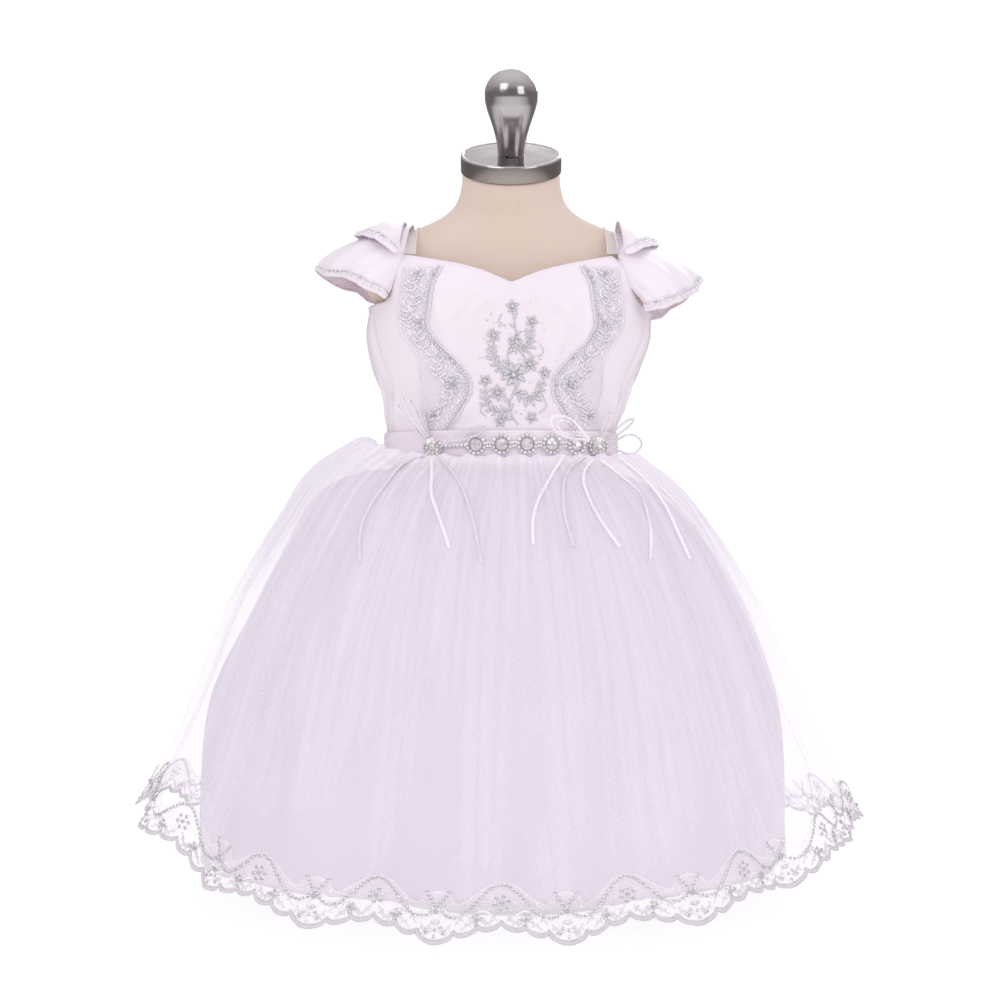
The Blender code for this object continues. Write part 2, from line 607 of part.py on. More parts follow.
def build_brooches():
    for side, x, z in BROOCH:
        centre, n = brooch_frame(x, z)
        bpy.ops.mesh.primitive_cylinder_add(vertices=16, radius=BROOCH_R,
                                            depth=BROOCH_T)
        obj = bpy.context.object
        obj.name = "brooch_" + side
        place(obj, CRYSTAL_MAT)
        obj.location = centre
        obj.rotation_euler = n.to_track_quat("Z", "Y").to_euler()
        bev = obj.modifiers.new("edge", "BEVEL")
        bev.width = 0.0009
        bev.segments = 1
        bev.limit_method = "ANGLE"
        obj.data.shade_smooth()


# ------------------------------------------------------------------ skirt
def around(angle, values, power=2):
    """Blend the left, right, front and back values round the skirt."""
    left, right, front, back = values
    s, c = math.sin(angle), math.cos(angle)
    side = right if s > 0 else left
    face = front if c > 0 else back
    f = abs(s) ** power
    return side * f + face * (1 - f)


def fold_depth(angle):
    """Outward shift of the large folds at an angle."""
    deg = math.degrees(angle)
    total = 0.0
    for azimuth, width, depth in FOLDS:
        d = (deg - azimuth + 180) % 360 - 180
        total += depth * math.exp(-(d / width) ** 2)
    return total


def hem_point(angle, w, offset=0.0):
    """Point of the hem's own surface, w above the lowest scallops."""
    angle_deg = math.degrees(angle)
    az = column(HEM, HEM_COLUMNS, "azimuth")
    zs = column(HEM, HEM_COLUMNS, "z")
    z0 = curve_at(az, zs, (angle_deg + 180) % 360 - 180)
    flare = around(angle, [HEM_FLARE[k] for k in ("left", "right", "front", "back")])
    reach = [HEM_REACH[k] - w * HEM_FLARE[k] + fold_depth(angle) + offset
             for k in ("left", "right", "front", "back")]
    x, y = oval(angle, *reach, SKIRT_SQUARE)
    return Vector((x, y, z0 + w * math.sqrt(1 - flare * flare)))


def skirt_point(rows, k, angle, fold):
    row = dict(zip(SKIRT_COLUMNS, rows[k]))
    reach = [row[n] + fold for n in ("left", "right", "front", "back")]
    near = 1 - min(1.0, k / WAIST_ROWS) ** 2
    x, y = oval(angle, *reach, SKIRT_SQUARE + (SQUARE - SKIRT_SQUARE) * near)
    z = around(angle, [row[n + "_z"]
                       for n in ("left", "right", "front", "back")], 4)
    return Vector((x, y, z))


def overlay_rows(angles):
    grid = [[hem_point(a, OVERLAY_END) for a in angles],
            [hem_point(a, OVERLAY_JOIN) for a in angles]]
    n = len(OVERLAY)
    for k in range(n - 1, -1, -1):
        f = k / (n - 1)
        gather = GATHER_DEPTH * math.sin(math.pi * min(1.0, f * 1.25)) if k else 0
        grid.append([
            skirt_point(OVERLAY, k, a, fold_depth(a) * f ** 1.6
                        + gather * math.cos(GATHERS * a + 0.7 * math.sin(3 * a)))
            for a in angles])
    return grid


def half_angles(middle, cols):
    """Angles of one half, 0.3 mm short of each side seam."""
    edge = math.radians(89.93)
    return [middle - edge + 2 * edge * j / cols for j in range(cols + 1)]


def build_skirt():
    for name, middle in (("front", 0.0), ("back", math.pi)):
        grid = overlay_rows(half_angles(middle, SKIRT_COLS))
        wall("tulle_overlay_" + name, grid, SHEER, TULLE_MAT)
        rows = []
        for k in range(len(LINING) - 1, -1, -1):
            f = k / (len(LINING) - 1)
            rows.append([skirt_point(LINING, k, a, 0.35 * fold_depth(a) * f ** 2)
                         for a in half_angles(middle, LINING_COLS)])
        wall("skirt_lining_" + name, rows, SATIN, LINING_MAT)


def hem_angles():
    """Angles of equal steps along the hem line, and the total length."""
    steps = 1440
    pts = []
    for i in range(steps + 1):
        a = -math.pi + 2 * math.pi * i / steps
        reach = [HEM_REACH[k] for k in ("left", "right", "front", "back")]
        pts.append((a, Vector(oval(a, *reach, SKIRT_SQUARE))))
    run = [0.0]
    for (_, p), (_, q) in zip(pts, pts[1:]):
        run.append(run[-1] + (q - p).length)
    angles = [a for a, _ in pts]
    at_front = line_at(angles, run, 0.0)
    return angles, run, at_front


def overlay_hem_point(angle, w, offset):
    """Hem point on the flat strips between the overlay's columns."""
    edge = math.radians(89.93)
    full = 2 * math.pi
    turn = (angle + math.pi / 2) % full
    middle = 0.0 if turn < math.pi else math.pi
    f = ((turn % math.pi) - math.pi / 2 + edge) / (2 * edge) * SKIRT_COLS
    f = min(float(SKIRT_COLS), max(0.0, f))
    j = min(SKIRT_COLS - 1, int(f))
    a0 = middle - edge + 2 * edge * j / SKIRT_COLS
    a1 = middle - edge + 2 * edge * (j + 1) / SKIRT_COLS
    return hem_point(a0, w, offset).lerp(hem_point(a1, w, offset), f - j)


def build_lace():
    angles, run, at_front = hem_angles()
    total = run[-1]
    pitch = total / LACE_REPEATS
    pattern = list(LACE) + [(1 - u, low, high)
                            for u, low, high in reversed(LACE[1:-1])]
    offset = SHEER + GAP + 0.0009
    low_row, high_row = [], []
    stations = []
    for k in range(LACE_REPEATS):
        for u, low, high in pattern:
            s = (at_front + LACE_PHASE + (k + u) * pitch) % total
            stations.append((s, low, high))
    for s, low, high in sorted(stations):
        a = line_at(run, angles, s)
        low_row.append(overlay_hem_point(a, low, offset))
        high_row.append(overlay_hem_point(a, high, offset))
    wall("lace_border", [low_row, high_row], SHEER, LACE_MAT, closed=True)


# ------------------------------------------------------------------- bows
def surface_tree(names):
    """Ray tree over the evaluated meshes of the named pieces."""
    deps = bpy.context.evaluated_depsgraph_get()
    verts, faces = [], []
    for name in names:
        obj = bpy.data.objects[name].evaluated_get(deps)
        mesh = obj.to_mesh()
        base = len(verts)
        verts += [v.co.copy() for v in mesh.vertices]
        faces += [tuple(base + i for i in p.vertices) for p in mesh.polygons]
        obj.to_mesh_clear()
    return BVHTree.FromPolygons(verts, faces)


def front_y(tree, x, z, default):
    hit = tree.ray_cast(Vector((x, -1.0, z)), Vector((0, 1, 0)))
    return hit[0].y if hit[0] is not None else default


def smooth_route(points, step):
    """Evenly spaced points of a Catmull-Rom curve through the given ones."""
    pts = [points[0] * 2 - points[1]] + points + [points[-1] * 2 - points[-2]]
    fine = []
    for i in range(1, len(pts) - 2):
        p0, p1, p2, p3 = pts[i - 1:i + 3]
        for j in range(24):
            t = j / 24
            fine.append(0.5 * ((2 * p1) + (p2 - p0) * t
                               + (2 * p0 - 5 * p1 + 4 * p2 - p3) * t * t
                               + (3 * p1 - p0 - 3 * p2 + p3) * t ** 3))
    fine.append(points[-1])
    run = [0.0]
    for p, q in zip(fine, fine[1:]):
        run.append(run[-1] + (q - p).length)
    count = max(3, round(run[-1] / step))
    out = []
    k = 0
    for i in range(count + 1):
        want = run[-1] * i / count
        while k < len(run) - 2 and run[k + 1] < want:
            k += 1
        f = (want - run[k]) / max(1e-9, run[k + 1] - run[k])
        out.append(fine[k].lerp(fine[k + 1], min(1.0, max(0.0, f))))
    return out


def rest_on(tree, p, distance):
    """The point moved straight off the surface so it just lies on it."""
    y = front_y(tree, p.x, p.z, p.y)
    p = Vector((p.x, y - distance, p.z))
    for _ in range(6):
        near, _, _, gap = tree.find_nearest(p)
        if gap >= distance - 0.00002:
            break
        p = near + (p - near).normalized() * distance
    return p


def loop_ring(name, side, tip, spread, level, tree, mat):
    """Closed teardrop ring of narrow ribbon that stands on its edge."""
    row = [b for b in BROOCH if b[0] == side][0]
    centre, _ = brooch_frame(row[1], row[2])
    start = Vector((centre.x, centre.z))
    tip = Vector(tip)
    along = (tip - start).normalized()
    across = Vector((-along.y, along.x))
    start = start + along * (BROOCH_R + 0.0016)
    length = (tip - start).length
    flat = []
    for i in range(LOOP_STEPS + 1):
        f = i / LOOP_STEPS
        half = 0.0007 + spread * math.sin(math.pi * f ** 1.5) ** 0.8
        flat.append((f, half))
    outline = [start + along * length * f + across * h for f, h in flat[:-1]]
    outline += [tip + along * 0.0008]
    outline += [start + along * length * f - across * h
                for f, h in reversed(flat[:-1])]
    # the ring lies in a plane through the foremost points under each half
    reach = [1.0, 1.0]
    for p in outline:
        f = min(1.0, max(0.0, (p - start).dot(along) / length))
        for dx in (-0.0025, 0.0, 0.0025):
            for dz in (-0.0025, 0.0, 0.0025):
                x = max(-0.086, min(0.078, p.x + dx))
                y = front_y(tree, x, p.y + dz, -0.05)
                side_index = 0 if f < 0.5 else 1
                reach[side_index] = min(reach[side_index], y)
    lift = LOOP_CLEAR + LOOP_W / 2 + (level - 1) * (LOOP_W + 0.0006)
    near = reach[0]
    far = reach[1] if reach[1] > near else near + (reach[1] - near) * 2
    grid = [[], []]
    for p in outline:
        f = min(1.0, max(0.0, (p - start).dot(along) / length))
        y = near + (far - near) * max(0.0, f - 0.5) * 2 - lift
        grid[0].append(Vector((p.x, y + LOOP_W / 2, p.y)))
        grid[1].append(Vector((p.x, y - LOOP_W / 2, p.y)))
    wall(name, grid, LOOP_T, mat, closed=True)


def build_loops():
    tree = surface_tree(["bodice_front", "lace_panel_left", "lace_panel_right",
                         "waist_sash", "belt_chain"])
    for name, side, x, z, spread, level in LOOPS:
        mat = SILVER_MAT if "silver" in name else RIBBON_MAT
        loop_ring(name, side, (x, z), spread, level, tree, mat)


def build_tails():
    tree = surface_tree(["tulle_overlay_front", "waist_sash", "belt_chain"])
    for name, route in TAILS.items():
        points = []
        for x, z in route:
            y = front_y(tree, x, z, -0.09)
            points.append(Vector((x, y - TAIL_R - TAIL_CLEAR, z)))
        pts = [rest_on(tree, p, TAIL_R + TAIL_CLEAR)
               for p in smooth_route(points, 0.0062)]
        curve = bpy.data.curves.new(name, "CURVE")
        curve.dimensions = "3D"
        spline = curve.splines.new("POLY")
        spline.points.add(len(pts) - 1)
        for sp, p in zip(spline.points, pts):
            sp.co = (*p, 1)
        curve.bevel_depth = TAIL_R
        curve.bevel_resolution = 2
        curve.use_fill_caps = True
        obj = bpy.data.objects.new(name, curve)
        place(obj, SILVER_MAT if "silver" in name else RIBBON_MAT)


# ------------------------------------------------------------- dress form
def neck_axis():
    return Vector((0, -math.sin(NECK_TILT), math.cos(NECK_TILT)))


def build_form():
    verts, faces = [], []
    for z, half, front, back, lean in FORM:
        for j in range(FORM_SIDES):
            a = -math.pi + 2 * math.pi * j / FORM_SIDES
            x, y = oval(a, half, half, front, back, 2.2)
            verts.append(Vector((x, y, z + lean * (y - NECK_TOP.y))))
    up = neck_axis()
    side = Vector((1, 0, 0))
    forward = side.cross(up)              # in the neck's top plane, to the back
    for j in range(FORM_SIDES):
        a = -math.pi + 2 * math.pi * j / FORM_SIDES
        verts.append(NECK_TOP + side * NECK_R * math.sin(a)
                     + forward * NECK_R * math.cos(a))
    rings = len(FORM) + 1
    for i in range(rings - 1):
        for j in range(FORM_SIDES):
            k = (j + 1) % FORM_SIDES
            faces.append((i * FORM_SIDES + j, i * FORM_SIDES + k,
                          (i + 1) * FORM_SIDES + k, (i + 1) * FORM_SIDES + j))
    faces.append(tuple(reversed(range(FORM_SIDES))))
    faces.append(tuple((rings - 1) * FORM_SIDES + j for j in range(FORM_SIDES)))
    mesh_object("form_torso", verts, faces, LINEN_MAT)

    tilt = Matrix.Rotation(NECK_TILT, 4, "X")
    bpy.ops.mesh.primitive_cylinder_add(vertices=40, radius=CAP_R, depth=CAP_H)
    cap = bpy.context.object
    cap.name = "form_neck_cap"
    place(cap, METAL_MAT)
    cap.rotation_euler = tilt.to_euler()
    cap.location = NECK_TOP + up * (GAP + CAP_H / 2)
    bev = cap.modifiers.new("edge", "BEVEL")
    bev.width = 0.0010
    bev.segments = 2
    bev.limit_method = "ANGLE"
    cap.data.shade_smooth()

    mesh = bpy.data.meshes.new("form_knob")
    mesh.from_pydata([(r, 0, h) for r, h in KNOB], [],
                     [(i, i + 1) for i in range(len(KNOB) - 1)])
    knob = bpy.data.objects.new("form_knob", mesh)
    place(knob, METAL_MAT)
    screw = knob.modifiers.new("turn", "SCREW")
    screw.axis = "Z"
    screw.steps = 28
    screw.render_steps = 28
    screw.use_merge_vertices = True
    screw.use_normal_flip = True
    screw.merge_threshold = 0.00001
    screw.use_smooth_shade = True
    knob.rotation_euler = tilt.to_euler()
    knob.location = NECK_TOP + up * (GAP * 2 + CAP_H)

    pole_low = BASE_H - DATUM + GAP
    pole_high = FORM[0][0] - GAP
    bpy.ops.mesh.primitive_cylinder_add(vertices=24, radius=POLE_R,
                                        depth=pole_high - pole_low)
    pole = bpy.context.object
    pole.name = "form_pole"
    place(pole, METAL_MAT)
    pole.location = (0, 0, (pole_low + pole_high) / 2)
    pole.data.shade_smooth()
    pole.data.set_sharp_from_angle(angle=math.radians(40))

    bpy.ops.mesh.primitive_cylinder_add(vertices=56, radius=BASE_R, depth=BASE_H)
    base = bpy.context.object
    base.name = "form_base"
    place(base, METAL_MAT)
    base.location = (0, 0, BASE_H / 2 - DATUM)
    bev = base.modifiers.new("edge", "BEVEL")
    bev.width = 0.0020
    bev.segments = 2
    bev.limit_method = "ANGLE"
    base.data.shade_smooth()


# ------------------------------------------------------------------ build
clear_scene()
PARTS = bpy.data.collections.new("christening_gown")
bpy.context.scene.collection.children.link(PARTS)
DATUM_EMPTY = bpy.data.objects.new("datum", None)
DATUM_EMPTY.location = (0, 0, DATUM)
PARTS.objects.link(DATUM_EMPTY)

SATIN_MAT = material("satin", (0.88, 0.84, 0.90), 0.38)
SASH_MAT = material("sash_satin", (0.87, 0.83, 0.90), 0.33)
LINING_MAT = material("lining", (0.86, 0.81, 0.88), 0.55)
TULLE_MAT = material("tulle", (0.90, 0.87, 0.92), 0.60, alpha=0.5)
SHEER_MAT = material("sheer", (0.90, 0.88, 0.92), 0.50, alpha=0.6)
LACE_MAT = material("lace", (0.85, 0.82, 0.88), 0.60)
RIBBON_MAT = material("ribbon", (0.90, 0.87, 0.92), 0.30)
SILVER_MAT = material("silver_cord", (0.70, 0.70, 0.73), 0.35, 0.8)
CRYSTAL_MAT = material("rhinestone", (0.62, 0.60, 0.62), 0.15, 0.9)
LINEN_MAT = material("linen", (0.62, 0.54, 0.45), 0.85)
METAL_MAT = material("satin_chrome", (0.62, 0.61, 0.60), 0.22, 1.0)

build_form()
build_bodice()
build_appliques()
build_straps()
build_sleeves()
build_sash()
build_chain()
build_brooches()
build_skirt()
build_lace()
bpy.context.view_layer.update()
build_loops()
build_tails()
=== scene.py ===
"""Looks of the christening gown on its dress form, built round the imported
frame. Metres, +Z up, the front faces -Y. Table heights are measured from a
datum DATUM above the floor, as in the part's own source."""
import bpy
import math
import numpy as np
from mathutils import Vector, Matrix
from mathutils.bvhtree import BVHTree


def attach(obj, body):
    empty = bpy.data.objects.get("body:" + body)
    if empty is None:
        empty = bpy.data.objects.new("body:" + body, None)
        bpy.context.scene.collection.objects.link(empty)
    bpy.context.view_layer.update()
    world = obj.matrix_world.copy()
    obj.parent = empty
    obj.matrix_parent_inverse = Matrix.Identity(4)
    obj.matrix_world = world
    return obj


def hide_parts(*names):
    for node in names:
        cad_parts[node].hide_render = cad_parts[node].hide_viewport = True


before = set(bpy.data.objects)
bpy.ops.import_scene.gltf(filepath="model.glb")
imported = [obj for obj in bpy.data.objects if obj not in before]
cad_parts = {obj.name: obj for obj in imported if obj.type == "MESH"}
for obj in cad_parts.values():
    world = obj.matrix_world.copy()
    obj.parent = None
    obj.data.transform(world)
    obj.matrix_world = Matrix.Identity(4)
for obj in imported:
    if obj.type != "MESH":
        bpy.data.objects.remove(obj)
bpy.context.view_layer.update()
scene = bpy.context.scene

# ----------------------------------------------------------------- camera
cam_data = bpy.data.cameras.new("camera")
cam_data.lens = 61.6
cam_data.sensor_width = 36.0
cam_data.clip_start = 0.05
cam_data.clip_end = 60.0
cam = bpy.data.objects.new("camera", cam_data)
cam.location = (-0.0084, -1.37, 0.305)
cam.rotation_euler = (math.radians(90), 0, 0)
scene.collection.objects.link(cam)
scene.camera = cam
scene.view_settings.view_transform = "Standard"
scene.view_settings.look = "None"
scene.view_settings.exposure = 0.0
scene.view_settings.gamma = 1.0

# ------------------------------------------------------------------ sizes
DATUM = 0.012
SATIN = 0.0012
SHEER = 0.0010
GAP = 0.0003
SQUARE = 2.3
SKIRT_SQUARE = 2.1
WAIST_ROWS = 4

FORM_COLUMNS = ("z", "half", "front", "back", "lean")
FORM = (
    (0.2320, 0.0460, 0.0360, 0.0420, 0.0),
    (0.2400, 0.0680, 0.0550, 0.0630, 0.0),
    (0.2620, 0.0780, 0.0660, 0.0730, 0.0),
    (0.3000, 0.0740, 0.0650, 0.0670, 0.0),
    (0.3380, 0.0715, 0.0635, 0.0600, 0.0),
    (0.3750, 0.0800, 0.0650, 0.0620, 0.0),
    (0.4100, 0.0930, 0.0660, 0.0650, 0.0),
    (0.4400, 0.1035, 0.0620, 0.0660, 0.0),
    (0.4550, 0.1120, 0.0585, 0.0640, 0.0),
    (0.4680, 0.1185, 0.0545, 0.0620, 0.0),
    (0.4830, 0.1140, 0.0500, 0.0580, 0.0),
    (0.4970, 0.0980, 0.0450, 0.0540, 0.0),
    (0.5080, 0.0770, 0.0410, 0.0500, 0.04),
    (0.5180, 0.0560, 0.0380, 0.0450, 0.12),
    (0.5280, 0.0445, 0.0380, 0.0390, 0.24),
    (0.5400, 0.0400, 0.0385, 0.0335, 0.38),
)
NECK_TILT = math.radians(26)
NECK_TOP = Vector((0.0, -0.0040, 0.5548))
NECK_R = 0.0385
CAP_R = 0.0400
CAP_H = 0.0144
KNOB = (
    (0.0000, 0.0670), (0.0060, 0.0661), (0.0115, 0.0635), (0.0160, 0.0596),
    (0.0192, 0.0545), (0.0207, 0.0490), (0.0206, 0.0430), (0.0192, 0.0360),
    (0.0168, 0.0285), (0.0142, 0.0205), (0.0122, 0.0125), (0.0110, 0.0050),
    (0.0108, 0.0000),
)

BODICE_COLUMNS = ("z", "left", "right", "front", "back")
BODICE = (
    (0.3250, 0.0985, 0.0825, 0.0745, 0.0720),
    (0.3450, 0.0985, 0.0830, 0.0745, 0.0715),
    (0.3700, 0.1005, 0.0905, 0.0755, 0.0710),
    (0.4000, 0.1110, 0.1035, 0.0775, 0.0720),
    (0.4250, 0.1150, 0.1110, 0.0780, 0.0730),
    (0.4480, 0.1125, 0.1115, 0.0765, 0.0735),
    (0.4650, 0.1230, 0.1230, 0.0720, 0.0715),
    (0.4830, 0.1260, 0.1260, 0.0655, 0.0650),
)
WAIST_Z = 0.3250
TOP_COLUMNS = ("x", "left", "right", "back")
TOP = (
    (0.0000, 0.4577, 0.4577, 0.4735),
    (0.0100, 0.4622, 0.4622, 0.4737),
    (0.0220, 0.4675, 0.4670, 0.4743),
    (0.0380, 0.4725, 0.4715, 0.4755),
    (0.0600, 0.4770, 0.4765, 0.4778),
    (0.0765, 0.4805, 0.4800, 0.4800),
    (0.0835, 0.4815, 0.4755, 0.4800),
    (0.0865, 0.4700, 0.4690, 0.4700),
    (0.0895, 0.4600, 0.4615, 0.4610),
    (0.0925, 0.4500, 0.4545, 0.4530),
    (0.0975, 0.4470, 0.4475, 0.4475),
    (0.1045, 0.4462, 0.4425, 0.4440),
    (0.1160, 0.4460, 0.4405, 0.4430),
)
APPLIQUE_COLUMNS = ("z", "inner", "outer")
APPLIQUE = (
    (0.3475, 0.0500, 0.0648), (0.3576, 0.0428, 0.0657), (0.3640, 0.0392, 0.0665),
    (0.3706, 0.0352, 0.0678), (0.3775, 0.0336, 0.0695), (0.3843, 0.0338, 0.0698),
    (0.3905, 0.0376, 0.0698), (0.4004, 0.0460, 0.0705), (0.4085, 0.0545, 0.0745),
    (0.4165, 0.0615, 0.0810), (0.4271, 0.0664, 0.0862), (0.4401, 0.0648, 0.0868),
    (0.4531, 0.0632, 0.0850), (0.4592, 0.0618, 0.0838), (0.4661, 0.0583, 0.0830),
    (0.4715, 0.0552, 0.0822),
)
STRAP_X = 0.0780
STRAP_W = 0.0085
STRAP_CLEAR = 0.0015
STRAP_COLUMNS = ("y", "z")
STRAP = (
    (-0.0556, 0.4822), (-0.0480, 0.4900), (-0.0380, 0.4970), (-0.0240, 0.5035),
    (-0.0080, 0.5065), (0.0080, 0.5070), (0.0230, 0.5045), (0.0370, 0.4985),
    (0.0480, 0.4900), (0.0552, 0.4815),
)
SLEEVE_COLUMNS = ("s", "seam_x", "seam_y", "seam_z", "crown_x", "crown_y",
                  "crown_z", "hem_x", "hem_y", "hem_z")
LOWER_LEFT = (
    (0.00, 0.0940, -0.0530, 0.4530, 0.0958, -0.0545, 0.4510, 0.0965, -0.0520, 0.4485),
    (0.12, 0.0905, -0.0553, 0.4640, 0.0985, -0.0610, 0.4590, 0.1035, -0.0560, 0.4525),
    (0.22, 0.0885, -0.0560, 0.4730, 0.1060, -0.0640, 0.4700, 0.1165, -0.0560, 0.4585),
    (0.32, 0.0868, -0.0545, 0.4850, 0.1170, -0.0630, 0.4810, 0.1280, -0.0490, 0.4655),
    (0.41, 0.0868, -0.0300, 0.5045, 0.1370, -0.0400, 0.4890, 0.1450, -0.0300, 0.4690),
    (0.50, 0.0875, 0.0000, 0.5105, 0.1520, 0.0005, 0.4950, 0.1555, 0.0010, 0.4775),
    (0.59, 0.0868, 0.0300, 0.5050, 0.1380, 0.0400, 0.4890, 0.1460, 0.0310, 0.4700),
    (0.68, 0.0868, 0.0550, 0.4840, 0.1180, 0.0640, 0.4800, 0.1290, 0.0510, 0.4660),
    (0.78, 0.0885, 0.0565, 0.4730, 0.1070, 0.0655, 0.4700, 0.1170, 0.0570, 0.4590),
    (0.88, 0.0905, 0.0560, 0.4640, 0.0990, 0.0620, 0.4590, 0.1045, 0.0570, 0.4530),
    (1.00, 0.0940, 0.0540, 0.4550, 0.0960, 0.0555, 0.4530, 0.0970, 0.0530, 0.4500),
)
LOWER_RIGHT = (
    (0.00, 0.1000, -0.0485, 0.4485, 0.1025, -0.0500, 0.4450, 0.1035, -0.0475, 0.4395),
    (0.12, 0.0935, -0.0535, 0.4570, 0.1050, -0.0590, 0.4510, 0.1120, -0.0530, 0.4405),
    (0.22, 0.0905, -0.0553, 0.4660, 0.1110, -0.0620, 0.4610, 0.1230, -0.0500, 0.4440),
    (0.32, 0.0872, -0.0550, 0.4800, 0.1210, -0.0600, 0.4730, 0.1340, -0.0400, 0.4500),
    (0.41, 0.0868, -0.0300, 0.4985, 0.1290, -0.0380, 0.4795, 0.1450, -0.0220, 0.4575),
    (0.50, 0.0875, 0.0000, 0.5050, 0.1400, 0.0005, 0.4870, 0.1530, 0.0010, 0.4690),
    (0.59, 0.0868, 0.0300, 0.4985, 0.1290, 0.0380, 0.4795, 0.1450, 0.0240, 0.4590),
    (0.68, 0.0868, 0.0550, 0.4840, 0.1210, 0.0610, 0.4740, 0.1340, 0.0430, 0.4520),
    (0.78, 0.0895, 0.0560, 0.4700, 0.1110, 0.0635, 0.4620, 0.1230, 0.0530, 0.4450),
    (0.88, 0.0930, 0.0550, 0.4600, 0.1050, 0.0600, 0.4520, 0.1120, 0.0550, 0.4420),
    (1.00, 0.0985, 0.0510, 0.4510, 0.1010, 0.0525, 0.4470, 0.1020, 0.0500, 0.4430),
)
UPPER_LEFT = (
    (0.00, 0.0850, -0.0600, 0.4835, 0.0870, -0.0620, 0.4830, 0.0885, -0.0628, 0.4812),
    (0.15, 0.0868, -0.0560, 0.4915, 0.0910, -0.0620, 0.4915, 0.0940, -0.0640, 0.4855),
    (0.30, 0.0868, -0.0400, 0.5045, 0.0980, -0.0500, 0.5040, 0.1040, -0.0550, 0.4935),
    (0.42, 0.0872, -0.0160, 0.5130, 0.1060, -0.0220, 0.5130, 0.1165, -0.0260, 0.5005),
    (0.50, 0.0875, 0.0000, 0.5145, 0.1120, 0.0000, 0.5150, 0.1245, 0.0000, 0.5045),
    (0.58, 0.0872, 0.0160, 0.5135, 0.1060, 0.0220, 0.5130, 0.1165, 0.0260, 0.5005),
    (0.70, 0.0868, 0.0400, 0.5050, 0.0980, 0.0500, 0.5040, 0.1040, 0.0550, 0.4935),
    (0.85, 0.0868, 0.0565, 0.4915, 0.0910, 0.0625, 0.4915, 0.0940, 0.0645, 0.4855),
    (1.00, 0.0850, 0.0605, 0.4835, 0.0870, 0.0625, 0.4830, 0.0885, 0.0632, 0.4812),
)
UPPER_RIGHT_DROP = 0.0080   # the right upper tier's hem hangs this much lower
UPPER_RIGHT_REACH = 0.80    # and reaches this much of the left one's width

SASH_LOW = 0.3264
SASH_HIGH = 0.3462
CHAIN_HALF = 0.0022
MEDAL_R = 0.0072
MEDAL_X = (-0.0264, -0.0075, 0.0113, 0.0298, 0.0478)
BROOCH = (("left", -0.0598, 0.3342), ("right", 0.0650, 0.3352))
BROOCH_R = 0.0077
SASH_OFFSET = SATIN / 2 + GAP + SATIN / 2 + 0.0004

SKIRT_COLUMNS = ("left", "left_z", "right", "right_z", "front", "front_z",
                 "back", "back_z")
OVERLAY = (
    (0.0965, 0.3212, 0.0805, 0.3218, 0.0735, 0.3218, 0.0715, 0.3218),
    (0.1058, 0.3270, 0.0882, 0.3246, 0.0805, 0.3238, 0.0788, 0.3246),
    (0.1120, 0.3392, 0.0955, 0.3266, 0.0872, 0.3240, 0.0862, 0.3266),
    (0.1240, 0.3390, 0.1070, 0.3235, 0.0985, 0.3200, 0.0980, 0.3245),
    (0.1430, 0.3290, 0.1230, 0.3130, 0.1140, 0.3110, 0.1140, 0.3150),
    (0.1620, 0.3110, 0.1400, 0.2960, 0.1300, 0.2945, 0.1310, 0.2970),
    (0.1780, 0.2850, 0.1560, 0.2740, 0.1450, 0.2730, 0.1470, 0.2740),
    (0.1970, 0.2550, 0.1730, 0.2470, 0.1600, 0.2450, 0.1620, 0.2450),
    (0.2220, 0.2110, 0.1975, 0.2030, 0.1785, 0.1970, 0.1815, 0.1960),
    (0.2420, 0.1600, 0.2200, 0.1500, 0.1960, 0.1340, 0.1990, 0.1340),
)
LINING = (
    (0.0925, 0.3192, 0.0765, 0.3192, 0.0695, 0.3192, 0.0680, 0.3192),
    (0.1210, 0.3150, 0.1020, 0.3070, 0.0930, 0.3055, 0.0935, 0.3070),
    (0.1520, 0.2990, 0.1290, 0.2870, 0.1180, 0.2860, 0.1190, 0.2880),
    (0.1740, 0.2620, 0.1530, 0.2580, 0.1390, 0.2560, 0.1410, 0.2560),
    (0.2010, 0.2100, 0.1810, 0.2110, 0.1610, 0.2030, 0.1640, 0.2030),
    (0.2370, 0.1330, 0.2080, 0.1330, 0.1800, 0.1300, 0.1830, 0.1300),
    (0.2465, 0.0150, 0.2140, 0.0150, 0.1930, 0.0150, 0.1960, 0.0150),
)
# lace hem line by azimuth (0 front, 90 right): height of the lowest scallops
HEM_COLUMNS = ("azimuth", "z")
HEM = (
    (-180, 0.0050), (-150, 0.0070), (-125, 0.0180), (-105, 0.0400),
    (-90, 0.0500), (-75, 0.0540), (-62, 0.0400), (-49, 0.0200), (-30, 0.0034),
    (-11, -0.0030), (8, -0.0035), (27, 0.0060), (38, 0.0120), (50, 0.0220),
    (61, 0.0304), (70, 0.0388), (81, 0.0392), (90, 0.0380), (105, 0.0280),
    (125, 0.0150), (150, 0.0070), (180, 0.0050),
)
HEM_REACH = {"left": 0.2910, "right": 0.2720, "front": 0.2250, "back": 0.2280}
HEM_FLARE = {"left": 0.45, "right": 0.45, "front": 0.22, "back": 0.22}
OVERLAY_END = 0.022          # the tulle ends this far above the lowest scallops
OVERLAY_JOIN = 0.060         # last section that follows the lace's own slope
